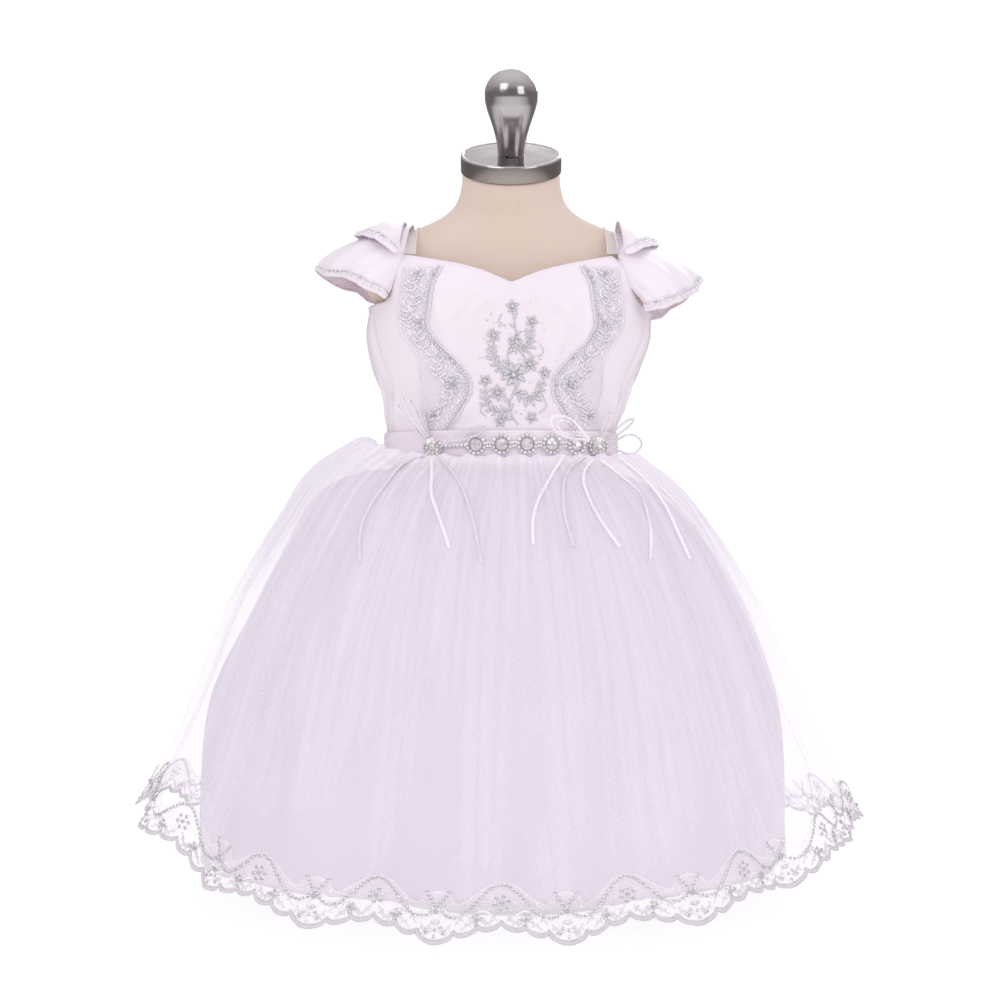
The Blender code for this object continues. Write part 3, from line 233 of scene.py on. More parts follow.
# large folds of the skirt: azimuth, half width (degrees), depth
FOLD_COLUMNS = ("azimuth", "width", "depth")
FOLDS = (
    (-168, 9, 0.0045), (-146, 7, -0.0050), (-128, 8, 0.0060), (-108, 6, -0.0045),
    (-93, 6, 0.0050), (-78, 6, -0.0060), (-64, 6, 0.0045), (-50, 7, -0.0050),
    (-35, 7, 0.0040), (-20, 8, -0.0030), (-3, 9, 0.0030), (15, 8, -0.0030),
    (31, 7, 0.0045), (45, 5, -0.0080), (55, 5, 0.0050), (70, 6, -0.0050),
    (84, 6, 0.0045), (101, 7, -0.0050), (118, 8, 0.0055), (137, 8, -0.0050),
    (158, 9, 0.0050),
)
GATHERS = 20                 # soft gathers that fade out below the waist
GATHER_DEPTH = 0.0014
HEM_COLS = 34

LACE_REPEATS = 18
LACE_PHASE = 0.0372          # a lowest scallop lies this far right of the front

LOOP_COLUMNS = ("name", "side", "tip_x", "tip_z", "spread", "level")
LOOPS = (
    ("loop_satin_a", "left", -0.0873, 0.3666, 0.0016, 1),
    ("loop_satin_b", "left", -0.0824, 0.3715, 0.0016, 4),
    ("loop_satin_c", "left", -0.0768, 0.3700, 0.0014, 2.1),
    ("loop_silver_d", "left", -0.0712, 0.3625, 0.0018, 1),
    ("loop_silver_e", "left", -0.0190, 0.3485, 0.0030, 1),
    ("loop_sheer_f", "right", 0.0290, 0.3550, 0.0065, 1),
    ("loop_satin_g", "right", 0.0764, 0.3620, 0.0014, 1),
    ("loop_silver_h", "right", 0.0950, 0.3565, 0.0018, 1),
    ("loop_satin_i", "right", 0.1020, 0.3375, 0.0070, 1),
)
LOOP_W = 0.0020
LOOP_T = 0.0010
LOOP_CLEAR = 0.0006
LOOP_STEPS = 7

TAIL_R = 0.0012
TAIL_CLEAR = 0.0013
TAIL_COLUMNS = ("x", "z")
TAILS = {
    "tail_silver_a": ((-0.0655, 0.3262), (-0.0811, 0.3210), (-0.0929, 0.3054),
                      (-0.1014, 0.2936), (-0.1083, 0.2796), (-0.1106, 0.2674),
                      (-0.1092, 0.2483)),
    "tail_satin_b": ((-0.0598, 0.3238), (-0.0590, 0.3120), (-0.0592, 0.2985),
                     (-0.0550, 0.2875), (-0.0493, 0.2734), (-0.0450, 0.2590)),
    "tail_silver_c": ((-0.0541, 0.3255), (-0.0416, 0.3110), (-0.0332, 0.2951),
                      (-0.0267, 0.2728), (-0.0217, 0.2487)),
    "tail_satin_d": ((0.0385, 0.3262), (0.0280, 0.3091), (0.0189, 0.2934),
                     (0.0144, 0.2770), (0.0150, 0.2619)),
    "tail_silver_e": ((0.0550, 0.3255), (0.0432, 0.3172), (0.0377, 0.3051),
                      (0.0372, 0.2885), (0.0398, 0.2741), (0.0443, 0.2600)),
    "tail_satin_f": ((0.0606, 0.3235), (0.0525, 0.3120), (0.0544, 0.2985),
                     (0.0633, 0.2798), (0.0774, 0.2596)),
    "tail_satin_g": ((0.0668, 0.3232), (0.0790, 0.3130), (0.0942, 0.3003),
                     (0.0992, 0.2868), (0.1013, 0.2693), (0.0993, 0.2509)),
    "tail_satin_h": ((0.0748, 0.3288), (0.0870, 0.3215), (0.1010, 0.3090),
                     (0.1142, 0.2904), (0.1232, 0.2696), (0.1314, 0.2500)),
    "tail_satin_i": ((0.1100, 0.3045), (0.1235, 0.2914), (0.1340, 0.2800),
                     (0.1445, 0.2674)),
}


# ---------------------------------------------------------------- helpers
def column(rows, columns, name):
    return np.array([row[columns.index(name)] for row in rows], float)


def curve_at(xs, ys, x):
    """Monotone cubic through the points, flat beyond the ends."""
    xs, ys = np.asarray(xs, float), np.asarray(ys, float)
    x = np.clip(np.asarray(x, float), xs[0], xs[-1])
    k = np.clip(np.searchsorted(xs, x, side="left") - 1, 0, len(xs) - 2)
    d = np.diff(ys) / np.diff(xs)
    m = np.zeros(len(xs))
    m[0], m[-1] = d[0], d[-1]
    both = d[:-1] * d[1:]
    safe = np.where(both > 0, d[:-1] + d[1:], 1.0)
    m[1:-1] = np.where(both > 0, 2 * both / safe, 0.0)
    h = xs[k + 1] - xs[k]
    t = (x - xs[k]) / h
    t2, t3 = t * t, t * t * t
    return (ys[k] * (2 * t3 - 3 * t2 + 1) + m[k] * h * (t3 - 2 * t2 + t)
            + ys[k + 1] * (3 * t2 - 2 * t3) + m[k + 1] * h * (t3 - t2))


def signed_power(v, p):
    return np.sign(v) * np.abs(v) ** p


def oval(angle, left, right, front, back, square):
    s, c = np.sin(angle), np.cos(angle)
    x = np.where(s > 0, right, left) * signed_power(s, 2 / square)
    y = -np.where(c > 0, front, back) * signed_power(c, 2 / square)
    return x, y


def smooth01(t):
    t = np.clip(t, 0.0, 1.0)
    return t * t * (3 - 2 * t)


def bump_at(x, centre, width):
    return np.exp(-((x - centre) / width) ** 2)


def make_mesh(name, verts, faces, mat, smooth=True, attrs=None, uv=None):
    """Mesh object from table-height points; DATUM is added here."""
    verts = np.asarray(verts, float).reshape(-1, 3).copy()
    verts[:, 2] += DATUM
    mesh = bpy.data.meshes.new(name)
    mesh.from_pydata(verts.tolist(), [], [tuple(int(i) for i in f) for f in faces])
    mesh.update()
    if smooth:
        mesh.shade_smooth()
    for key, values in (attrs or {}).items():
        a = mesh.attributes.new(key, "FLOAT", "POINT")
        a.data.foreach_set("value", np.asarray(values, np.float32).ravel())
    if uv is not None:
        layer = mesh.uv_layers.new(name="UVMap")
        loops = np.zeros(len(mesh.loops), np.int32)
        mesh.loops.foreach_get("vertex_index", loops)
        layer.data.foreach_set("uv", np.asarray(uv, np.float32)[loops].ravel())
    for m in (mat if isinstance(mat, (list, tuple)) else [mat]):
        mesh.materials.append(m)
    obj = bpy.data.objects.new(name, mesh)
    scene.collection.objects.link(obj)
    return obj


def grid_faces(rows, cols, closed=False, base=0):
    i = np.arange(rows - 1)[:, None]
    j = np.arange(cols if closed else cols - 1)[None, :]
    k = (j + 1) % cols
    f = np.stack([i * cols + j, i * cols + k, (i + 1) * cols + k,
                  (i + 1) * cols + j], -1).reshape(-1, 4) + base
    return f


def grid_mesh(name, grid, mat, closed=False, attrs=None, uv=None, wall=0.0):
    grid = np.asarray(grid, float)
    rows, cols = grid.shape[:2]
    obj = make_mesh(name, grid.reshape(-1, 3), grid_faces(rows, cols, closed),
                    mat, attrs=attrs, uv=uv)
    if wall:
        mod = obj.modifiers.new("wall", "SOLIDIFY")
        mod.thickness = wall
        mod.offset = 0.0
    return obj


def on_grid(grid, u, v):
    """Points and normals of a grid surface at fractional columns u, rows v."""
    rows, cols = grid.shape[:2]
    u = np.clip(np.asarray(u, float), 0, cols - 1.001)
    v = np.clip(np.asarray(v, float), 0, rows - 1.001)
    j, i = u.astype(int), v.astype(int)
    fu, fv = (u - j)[..., None], (v - i)[..., None]
    a, b = grid[i, j], grid[i, j + 1]
    c, d = grid[i + 1, j], grid[i + 1, j + 1]
    p = (a * (1 - fu) + b * fu) * (1 - fv) + (c * (1 - fu) + d * fu) * fv
    du = (b - a) * (1 - fv) + (d - c) * fv
    dv = (c - a) * (1 - fu) + (d - b) * fu
    n = np.cross(du, dv)
    n /= np.maximum(1e-12, np.linalg.norm(n, axis=-1, keepdims=True))
    return p, n


def tube(points, radius, sides=8, flat=1.0, up=None, caps=True, closed=False):
    """Vertices and faces of a tube along points; flat squeezes it along the
    given up directions."""
    pts = np.asarray(points, float)
    n = len(pts)
    if closed:
        tan = np.roll(pts, -1, 0) - np.roll(pts, 1, 0)
    else:
        tan = np.gradient(pts, axis=0)
    tan /= np.maximum(1e-12, np.linalg.norm(tan, axis=1, keepdims=True))
    if up is None:
        up = np.tile(np.array([0.0, -1.0, 0.2]), (n, 1))
    up = np.asarray(up, float)
    if up.ndim == 1:
        up = np.tile(up, (n, 1))
    up = up - (up * tan).sum(1, keepdims=True) * tan
    up /= np.maximum(1e-12, np.linalg.norm(up, axis=1, keepdims=True))
    side = np.cross(tan, up)
    r = np.broadcast_to(np.asarray(radius, float), (n,))
    a = np.arange(sides) * 2 * np.pi / sides
    ring = (side[:, None, :] * np.cos(a)[None, :, None]
            + up[:, None, :] * (np.sin(a) * flat)[None, :, None])
    verts = (pts[:, None, :] + ring * r[:, None, None]).reshape(-1, 3)
    faces = []
    for i in range(n if closed else n - 1):
        k = (i + 1) % n
        for j in range(sides):
            m = (j + 1) % sides
            faces.append((i * sides + j, i * sides + m, k * sides + m,
                          k * sides + j))
    if caps and not closed:
        faces.append(tuple(range(sides))[::-1])
        faces.append(tuple((n - 1) * sides + j for j in range(sides)))
    return verts, faces


class Builder:
    """Gathers many small shapes into one mesh."""

    def __init__(self):
        self.v, self.f, self.m, self.n = [], [], [], 0

    def add(self, verts, faces, slot=0):
        verts = np.asarray(verts, float).reshape(-1, 3)
        self.v.append(verts)
        for f in faces:
            self.f.append(tuple(int(i) + self.n for i in f))
            self.m.append(slot)
        self.n += len(verts)

    def build(self, name, mats, smooth=True):
        obj = make_mesh(name, np.concatenate(self.v), self.f, mats, smooth)
        obj.data.polygons.foreach_set("material_index",
                                      np.array(self.m, np.int32))
        obj.data.update()
        return obj


def frame_at(normal, turn=0.0):
    """Two unit vectors across a normal."""
    n = np.asarray(normal, float)
    n = n / np.linalg.norm(n)
    ref = np.array([0.0, 0.0, 1.0]) if abs(n[2]) < 0.9 else np.array([1.0, 0, 0])
    a = np.cross(ref, n)
    a /= np.linalg.norm(a)
    b = np.cross(n, a)
    c, s = math.cos(turn), math.sin(turn)
    return a * c + b * s, -a * s + b * c, n


def icosphere(sub):
    import bmesh
    bm = bmesh.new()
    bmesh.ops.create_icosphere(bm, subdivisions=sub, radius=1.0)
    v = np.array([p.co for p in bm.verts])
    f = [tuple(q.index for q in face.verts) for face in bm.faces]
    bm.free()
    return v, f


ICO1 = icosphere(1)
ICO2 = icosphere(2)


def add_bead(b, p, n, r, slot=0, flat=0.8, fine=False, lift=0.35):
    v, f = ICO2 if fine else ICO1
    a, c, n = frame_at(n)
    pos = np.asarray(p) + n * r * lift
    b.add(pos + r * (v[:, :1] * a + v[:, 1:2] * c + v[:, 2:3] * flat * n), f, slot)


def add_sequin(b, p, n, r, tilt, turn, slot=0, hole=0.30, sides=10, lift=0.0004):
    """Cupped ring disc: rim, raised middle ring and a hole."""
    a, c, n = frame_at(n, turn)
    n2 = n * math.cos(tilt) + a * math.sin(tilt)
    a2, c2, n2 = frame_at(n2, turn)
    ang = np.arange(sides) * 2 * np.pi / sides
    ring = np.cos(ang)[:, None] * a2 + np.sin(ang)[:, None] * c2
    pos = np.asarray(p) + n * (lift + r * math.sin(abs(tilt)) * 0.7)
    rows = [(r, 0.0), (r * 0.66, r * 0.20), (r * hole, r * 0.10)]
    v = np.concatenate([pos + ring * q + n2 * h for q, h in rows])
    f = []
    for i in range(2):
        for j in range(sides):
            k = (j + 1) % sides
            f.append((i * sides + j, i * sides + k, (i + 1) * sides + k,
                      (i + 1) * sides + j))
    b.add(v, f, slot)


def add_crystal(b, p, n, r, slot=0, sides=8, turn=0.0, height=0.55):
    """Faceted stone: girdle, crown and a small flat table."""
    a, c, n = frame_at(n, turn)
    p = np.asarray(p)
    v, f = [], []
    rows = [(r * 0.96, -0.02 * r, 0.0), (r, r * 0.12, 0.0),
            (r * 0.76, r * height * 0.62, 0.5), (r * 0.40, r * height * 1.25, 0.0)]
    for q, h, off in rows:
        ang = (np.arange(sides) + off) * 2 * np.pi / sides
        v.append(p + (np.cos(ang)[:, None] * a + np.sin(ang)[:, None] * c) * q
                 + n * h)
    v = np.concatenate(v)
    cut = np.sin(np.arange(len(v)) * 12.9898 + turn * 7.0 + sides) * r * 0.085
    cut[:sides] = 0.0
    v = v + n * cut[:, None]
    for i in range(len(rows) - 1):
        for j in range(sides):
            k = (j + 1) % sides
            f.append((i * sides + j, i * sides + k, (i + 1) * sides + k))
            f.append((i * sides + j, (i + 1) * sides + k, (i + 1) * sides + j))
    f.append(tuple((len(rows) - 1) * sides + j for j in range(sides)))
    b.add(v, f, slot)


PIECES = []


def keep(obj, slot, *nodes):
    """The piece rides on the body and stands for CAD nodes, which it hides; the slot is not used."""
    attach(obj, "root")
    if nodes:
        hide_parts(*nodes)
    PIECES.append(obj)
    return obj


def rng(seed):
    return np.random.RandomState(seed)


# -------------------------------------------------------------- materials
class Mat:
    """Small helper that builds a node material."""

    def __init__(self, name):
        self.mat = bpy.data.materials.new(name)
        self.mat.use_nodes = True
        self.t = self.mat.node_tree
        self.t.nodes.clear()
        self.out = self.t.nodes.new("ShaderNodeOutputMaterial")
        self.bsdf = self.t.nodes.new("ShaderNodeBsdfPrincipled")
        self.t.links.new(self.bsdf.outputs[0], self.out.inputs[0])
        self.coord = self.t.nodes.new("ShaderNodeTexCoord")

    def node(self, kind, ins=None, **props):
        n = self.t.nodes.new("ShaderNode" + kind)
        for k, v in props.items():
            setattr(n, k, v)
        for k, v in (ins or {}).items():
            s = n.inputs[k]
            if isinstance(v, bpy.types.NodeSocket):
                self.t.links.new(v, s)
            else:
                s.default_value = v
        return n

    def set(self, **values):
        for k, v in values.items():
            s = self.bsdf.inputs[k.replace("_", " ")]
            if isinstance(v, bpy.types.NodeSocket):
                self.t.links.new(v, s)
            else:
                s.default_value = v

    def scaled(self, scale, source="Object"):
        return self.node("Mapping", {"Vector": self.coord.outputs[source],
                                     "Scale": scale}).outputs[0]

    def noise(self, vector, scale, detail=3.0, rough=0.55, distortion=0.0):
        return self.node("TexNoise", {"Vector": vector, "Scale": scale,
                                      "Detail": detail, "Roughness": rough,
                                      "Distortion": distortion}).outputs["Fac"]

    def wave(self, vector, scale, direction="X", distortion=0.0, detail=1.0,
             profile="SIN"):
        return self.node("TexWave", {"Vector": vector, "Scale": scale,
                                     "Distortion": distortion,
                                     "Detail": detail},
                         wave_type="BANDS", bands_direction=direction,
                         wave_profile=profile).outputs["Fac"]

    def math(self, op, a, b=0.0, c=None, clamp=False):
        n = self.node("Math", operation=op, use_clamp=clamp)
        for s, v in zip(n.inputs, (a, b, c)):
            if v is None:
                continue
            if isinstance(v, bpy.types.NodeSocket):
                self.t.links.new(v, s)
            else:
                s.default_value = v
        return n.outputs[0]

    def span(self, value, a, b, lo=0.0, hi=1.0):
        return self.node("MapRange", {"Value": value, "From Min": lo,
                                      "From Max": hi, "To Min": a,
                                      "To Max": b}).outputs[0]

    def mix(self, fac, a, b, blend="MIX"):
        n = self.node("Mix", data_type="RGBA", blend_type=blend)
        for s, v in ((n.inputs[0], fac), (n.inputs[6], a), (n.inputs[7], b)):
            if isinstance(v, bpy.types.NodeSocket):
                self.t.links.new(v, s)
            elif s == n.inputs[0]:
                s.default_value = v
            else:
                s.default_value = (*v, 1.0) if len(v) == 3 else v
        return n.outputs[2]

    def attr(self, name):
        return self.node("Attribute", attribute_name=name).outputs["Fac"]

    def bump(self, height, strength, distance, normal=None):
        ins = {"Height": height, "Strength": strength, "Distance": distance}
        if normal is not None:
            ins["Normal"] = normal
        return self.node("Bump", ins).outputs[0]


def satin_material(name, light, dark, rough, sheen, weave=1500.0, crease=0.0006,
                   scale=34.0, slub=9.0):
    m = Mat(name)
    v = m.coord.outputs["Object"]
    big = m.noise(v, 11.0, 2.0)
    streak = m.noise(m.scaled((420.0, 420.0, 34.0)), 1.0, 2.0)
    m.set(Base_Color=m.mix(m.math("MULTIPLY_ADD", streak, 0.35,
                                  m.math("MULTIPLY", big, 0.65)), dark, light))
    m.set(Roughness=m.span(streak, rough - 0.05, rough + 0.08))
    twill = m.wave(m.scaled((1.0, 1.0, 0.8)), weave, "DIAGONAL")
    fine = m.bump(twill, 0.12, 0.00010)
    threads = m.bump(streak, 0.18, 0.00018, fine)
    soft = m.noise(m.scaled((1.0, 1.0, 0.7)), scale, 2.0, 0.5, 0.3)
    m.set(Normal=m.bump(soft, 0.55, crease, threads))
    m.set(Sheen_Weight=sheen, Sheen_Roughness=0.35, Specular_IOR_Level=0.45,
          Anisotropic=0.35)
    return m.mat


SATIN_MAT = satin_material("gown_satin", (0.880, 0.802, 0.860),
                           (0.850, 0.770, 0.832), 0.30, 0.20,
                           crease=0.0010)
SLEEVE_MAT = satin_material("sleeve_satin", (0.920, 0.845, 0.905),
                            (0.870, 0.790, 0.865), 0.40, 0.18, crease=0.0004)
SASH_MAT = satin_material("sash_satin", (0.895, 0.815, 0.875),
                          (0.840, 0.760, 0.830), 0.30, 0.15, scale=60.0,
                          crease=0.0004)
LINING_MAT = satin_material("lining_satin", (0.785, 0.710, 0.800),
                            (0.715, 0.660, 0.765), 0.52, 0.25, scale=18.0,
                            crease=0.0012)


def tulle_material(name, tint, base, gain):
    """Fine net: a see-through ground, denser where the folds lie double."""
    m = Mat(name)
    density = m.attr("layers")
    u = m.attr("turn")
    cells = m.node("TexVoronoi", {"Vector": m.coord.outputs["Object"],
                                  "Scale": 620.0},
                   feature="DISTANCE_TO_EDGE").outputs["Distance"]
    net = m.span(cells, 1.04, 0.90, 0.02, 0.24)
    streak = m.noise(m.node("CombineXYZ", {"X": u, "Y": m.math(
        "MULTIPLY", m.node("SeparateXYZ", {"Vector": m.coord.outputs[
            "Object"]}).outputs["Z"], 0.9)}).outputs[0], 24.0, 2.0, 0.50)
    line = m.span(streak, 0.92, 1.10, 0.30, 0.70)
    a = m.math("MULTIPLY", density, net)
    a = m.math("MULTIPLY", a, line)
    a = m.math("MULTIPLY_ADD", a, gain, base, clamp=True)
    # painted shade and light: bluish streaks stand in for the shade in the folds and warm ones for the lit ridges,
    # laid by a noise round the skirt
    shade = m.node("CombineXYZ", {"X": u, "Y": 0.0}).outputs[0]
    painted_fold_shade = m.span(m.noise(shade, 9.0, 3.0, 0.6), 0.38, 0.62)
    m.set(Alpha=a, Base_Color=m.mix(
        painted_fold_shade, (tint[0] - 0.035, tint[1] + 0.005, tint[2] + 0.010),
        (tint[0] + 0.020, tint[1] - 0.010, tint[2] - 0.010)))
    # painted light: the net glows faintly, standing in for light its threads pass from behind
    m.set(Emission_Color=(*tint, 1.0), Emission_Strength=0.10)
    m.set(Roughness=m.span(streak, 0.45, 0.62), Sheen_Weight=0.35,
          Sheen_Roughness=0.4, Specular_IOR_Level=0.30)
    m.set(Normal=m.bump(streak, 0.06, 0.0003, m.bump(cells, 0.03, 0.00003)))
    return m.mat


TULLE_MAT = tulle_material("tulle_net", (0.860, 0.800, 0.875), 0.10, 0.92)
VEIL_MAT = tulle_material("sheer_net", (0.98, 0.93, 0.96), 0.30, 0.25)


def lace_material(name, ground, thread, period, height, low=0.03, high=0.12):
    """Sheer ground with embroidered vines and dots, laid out along the strip:
    the first coordinate runs along it in metres, the second across it."""
    m = Mat(name)
    uv = m.node("SeparateXYZ", {"Vector": m.coord.outputs["UV"]})
    u, w = uv.outputs["X"], uv.outputs["Y"]
    phase = m.math("MULTIPLY", u, 2 * math.pi / period)
    vine = None
    for k, amp, mid, wide in ((2, 0.0050, 0.0120, 0.0006),
                              (3, 0.0036, 0.0185, 0.0005),
                              (5, 0.0022, 0.0075, 0.00045)):
        curve = m.math("SINE", m.math("MULTIPLY_ADD", phase, float(k), k * 0.9))
        off = m.math("SUBTRACT", w, m.math("MULTIPLY_ADD", curve, amp, mid))
        line = m.span(m.math("ABSOLUTE", off), 1.0, 0.0, wide, wide * 2.2)
        vine = line if vine is None else m.math("MAXIMUM", vine, line)
    leaf = m.node("TexVoronoi", {"Vector": m.scaled((1.0, 1.0, 0.8)),
                                 "Scale": 190.0, "Randomness": 0.85})
    dots = m.span(leaf.outputs["Distance"], 1.0, 0.0, 0.12, 0.22)
    fine = m.node("TexVoronoi", {"Vector": m.coord.outputs["Object"],
                                 "Scale": 900.0}, feature="DISTANCE_TO_EDGE")
    net = m.span(fine.outputs["Distance"], 0.55, 0.18, low, high)
    edge = m.attr("edge")
    work = m.math("MAXIMUM", m.math("MAXIMUM", vine, dots), edge)
    stitch = m.wave(m.scaled((1.0, 1.0, 0.6)), 1100.0, "DIAGONAL", 1.5)
    tone = m.math("MULTIPLY_ADD", stitch, 0.25, m.math("MULTIPLY", work, 0.75))
    m.set(Base_Color=m.mix(tone, ground, thread))
    m.set(Alpha=m.math("MAXIMUM", m.math("MULTIPLY", work, 0.96), net,
                       clamp=True))
    m.set(Roughness=m.span(work, 0.60, 0.36), Sheen_Weight=0.20,
          Specular_IOR_Level=0.45)
    rough = m.bump(stitch, 0.35, 0.00018)
    m.set(Normal=m.bump(work, 0.75, 0.00045, rough))
    return m.mat


LACE_MAT = lace_material("lace_net", (0.94, 0.88, 0.93), (0.98, 0.92, 0.96),
                         0.0866, 0.036)
PANEL_MAT = lace_material("applique_net", (0.90, 0.85, 0.95),
                          (0.98, 0.94, 0.98), 0.0420, 0.040,
                          0.34, 0.46)


def thread_material(name, light, dark, rough, metal, scale=1400.0,
                    painted_glow=0.0):
    """Satin stitch or twisted cord: slanted threads with a soft gloss."""
    m = Mat(name)
    v = m.coord.outputs["Object"]
    twist = m.wave(m.scaled((1.0, 1.0, 1.0)), scale, "DIAGONAL", 0.6)
    tone = m.noise(v, 260.0, 3.0)
    m.set(Base_Color=m.mix(m.math("MULTIPLY_ADD", twist, 0.5,
                                  m.math("MULTIPLY", tone, 0.5)), dark, light))
    m.set(Roughness=m.span(tone, rough - 0.06, rough + 0.10), Metallic=metal)
    m.set(Normal=m.bump(twist, 0.55, 0.00025, m.bump(tone, 0.3, 0.0002)))
    m.set(Sheen_Weight=0.15 if metal < 0.5 else 0.0, Anisotropic=0.4)
    # painted light: a faint glow lifts the thread, though it is no lamp
    m.set(Emission_Color=(*light, 1.0), Emission_Strength=painted_glow)
    return m.mat


STITCH_MAT = thread_material("satin_stitch", (0.97, 0.92, 0.97),
                             (0.88, 0.82, 0.89), 0.38, 0.0)
OUTLINE_MAT = thread_material("outline_thread", (0.76, 0.72, 0.77),
                              (0.60, 0.57, 0.62), 0.46, 0.1)
SILVER_THREAD = thread_material("silver_thread", (0.91, 0.89, 0.93),
                                (0.68, 0.67, 0.71), 0.42, 0.22, 1900.0)
# the cord and the ribbon get a faint painted glow
CORD_MAT = thread_material("woven_silver", (0.98, 0.93, 0.98),
                           (0.50, 0.47, 0.52), 0.36, 0.15, 230.0, painted_glow=0.04)
RIBBON_MAT = thread_material("ribbon_satin", (0.99, 0.93, 0.98),
                             (0.95, 0.89, 0.95), 0.42, 0.0, 3000.0, painted_glow=0.10)


def metal_material(name, light, dark, rough, scale=220.0, grain=(1, 1, 1),
                   coat=0.0, depth=0.00004, metal=1.0):
    m = Mat(name)
    v = m.scaled(grain)
    tone = m.noise(v, scale, 4.0, 0.6)
    m.set(Base_Color=m.mix(tone, dark, light), Metallic=metal,
          Roughness=m.span(tone, max(0.02, rough - 0.05), rough + 0.07))
    m.set(Normal=m.bump(tone, 0.35, depth))
    m.set(Coat_Weight=coat, Coat_Roughness=0.08)
    return m.mat


SCALLOP_MAT = thread_material("scallop_stitch", (0.84, 0.78, 0.83),
                              (0.70, 0.65, 0.70), 0.44, 0.0)
RING_MAT = metal_material("sequin_ring", (0.90, 0.89, 0.91),
                          (0.58, 0.57, 0.59), 0.12, 500.0, metal=0.72)
SEQUIN_MAT = metal_material("sequin_silver", (0.93, 0.92, 0.94),
                            (0.78, 0.77, 0.80), 0.17, 500.0, metal=0.65)
BEAD_MAT = metal_material("bead_silver", (0.95, 0.94, 0.96),
                          (0.74, 0.73, 0.76), 0.16, 700.0, metal=0.45)
DARK_MAT = metal_material("bead_dark", (0.84, 0.82, 0.85),
                          (0.42, 0.41, 0.43), 0.08, 500.0, coat=0.5,
                          metal=0.75)
STONE_MAT = metal_material("rhinestone_face", (1.0, 0.98, 0.98),
                           (0.78, 0.75, 0.75), 0.05, 420.0, coat=0.8, metal=0.60)
CLAW_MAT = metal_material("claw_setting", (0.90, 0.86, 0.84),
                          (0.62, 0.58, 0.56), 0.20, 500.0, metal=0.7)
# painted shade: the knob's metal is made dark for the shade and dark mirror image of a bonnet that is not built
KNOB_SHADED_MAT = metal_material("knob_chrome_painted_shade", (0.56, 0.53, 0.53),
                            (0.47, 0.44, 0.45), 0.17, 60.0, coat=0.25)
POLE_MAT = metal_material("pole_chrome", (0.66, 0.65, 0.66),
                          (0.52, 0.51, 0.52), 0.22, 90.0, (1, 1, 12))
BASE_MAT = metal_material("base_brushed", (0.70, 0.69, 0.69),
                          (0.56, 0.55, 0.56), 0.30, 60.0, (14, 1, 14))
CAP_MAT = metal_material("cap_brushed", (0.44, 0.40, 0.37),
                         (0.32, 0.29, 0.27), 0.24, 90.0, (2, 2, 40),
                         depth=0.00006)
PLATE_MAT = metal_material("cap_plate", (0.50, 0.46, 0.46),
                           (0.42, 0.39, 0.40), 0.09, 40.0, coat=0.2)


def pearl_material():
    m = Mat("pearl_bead")
    tone = m.noise(m.coord.outputs["Object"], 600.0, 2.0)
    m.set(Base_Color=m.mix(tone, (0.86, 0.82, 0.84), (0.97, 0.94, 0.96)),
          Roughness=m.span(tone, 0.18, 0.30), Coat_Weight=0.8,
          Coat_Roughness=0.06, Sheen_Weight=0.15,
          Normal=m.bump(tone, 0.15, 0.00005))
    return m.mat


def linen_material():
    """Plain woven linen cover with slubs and a slight unevenness."""
    m = Mat("linen_cover")
    v = m.coord.outputs["Object"]
    warp = m.wave(m.scaled((1, 1, 0.02)), 900.0, "X", 1.2, 2.0)
    weft = m.wave(m.scaled((0.02, 0.02, 1)), 900.0, "Z", 1.2, 2.0)
    slub = m.noise(m.scaled((60.0, 60.0, 700.0)), 1.0, 3.0)
    slub2 = m.noise(m.scaled((700.0, 700.0, 60.0)), 1.0, 3.0)
    big = m.noise(v, 16.0, 3.0)
    weave = m.math("MULTIPLY_ADD", warp, 0.5, m.math("MULTIPLY", weft, 0.5))
    tone = m.math("MULTIPLY_ADD", big, 0.45,
                  m.math("MULTIPLY_ADD", slub, 0.30,
                         m.math("MULTIPLY", slub2, 0.25)))
    base = m.mix(tone, (0.70, 0.56, 0.46), (0.88, 0.74, 0.64))
    m.set(Base_Color=m.mix(m.span(weave, 0.0, 0.35), base,
                           (0.62, 0.49, 0.39)))
    m.set(Roughness=m.span(tone, 0.78, 0.92), Sheen_Weight=0.30,
          Sheen_Roughness=0.5, Specular_IOR_Level=0.25)
    m.set(Normal=m.bump(weave, 0.45, 0.00025, m.bump(tone, 0.5, 0.0006)))
    return m.mat


PEARL_MAT = pearl_material()
LINEN_MAT = linen_material()


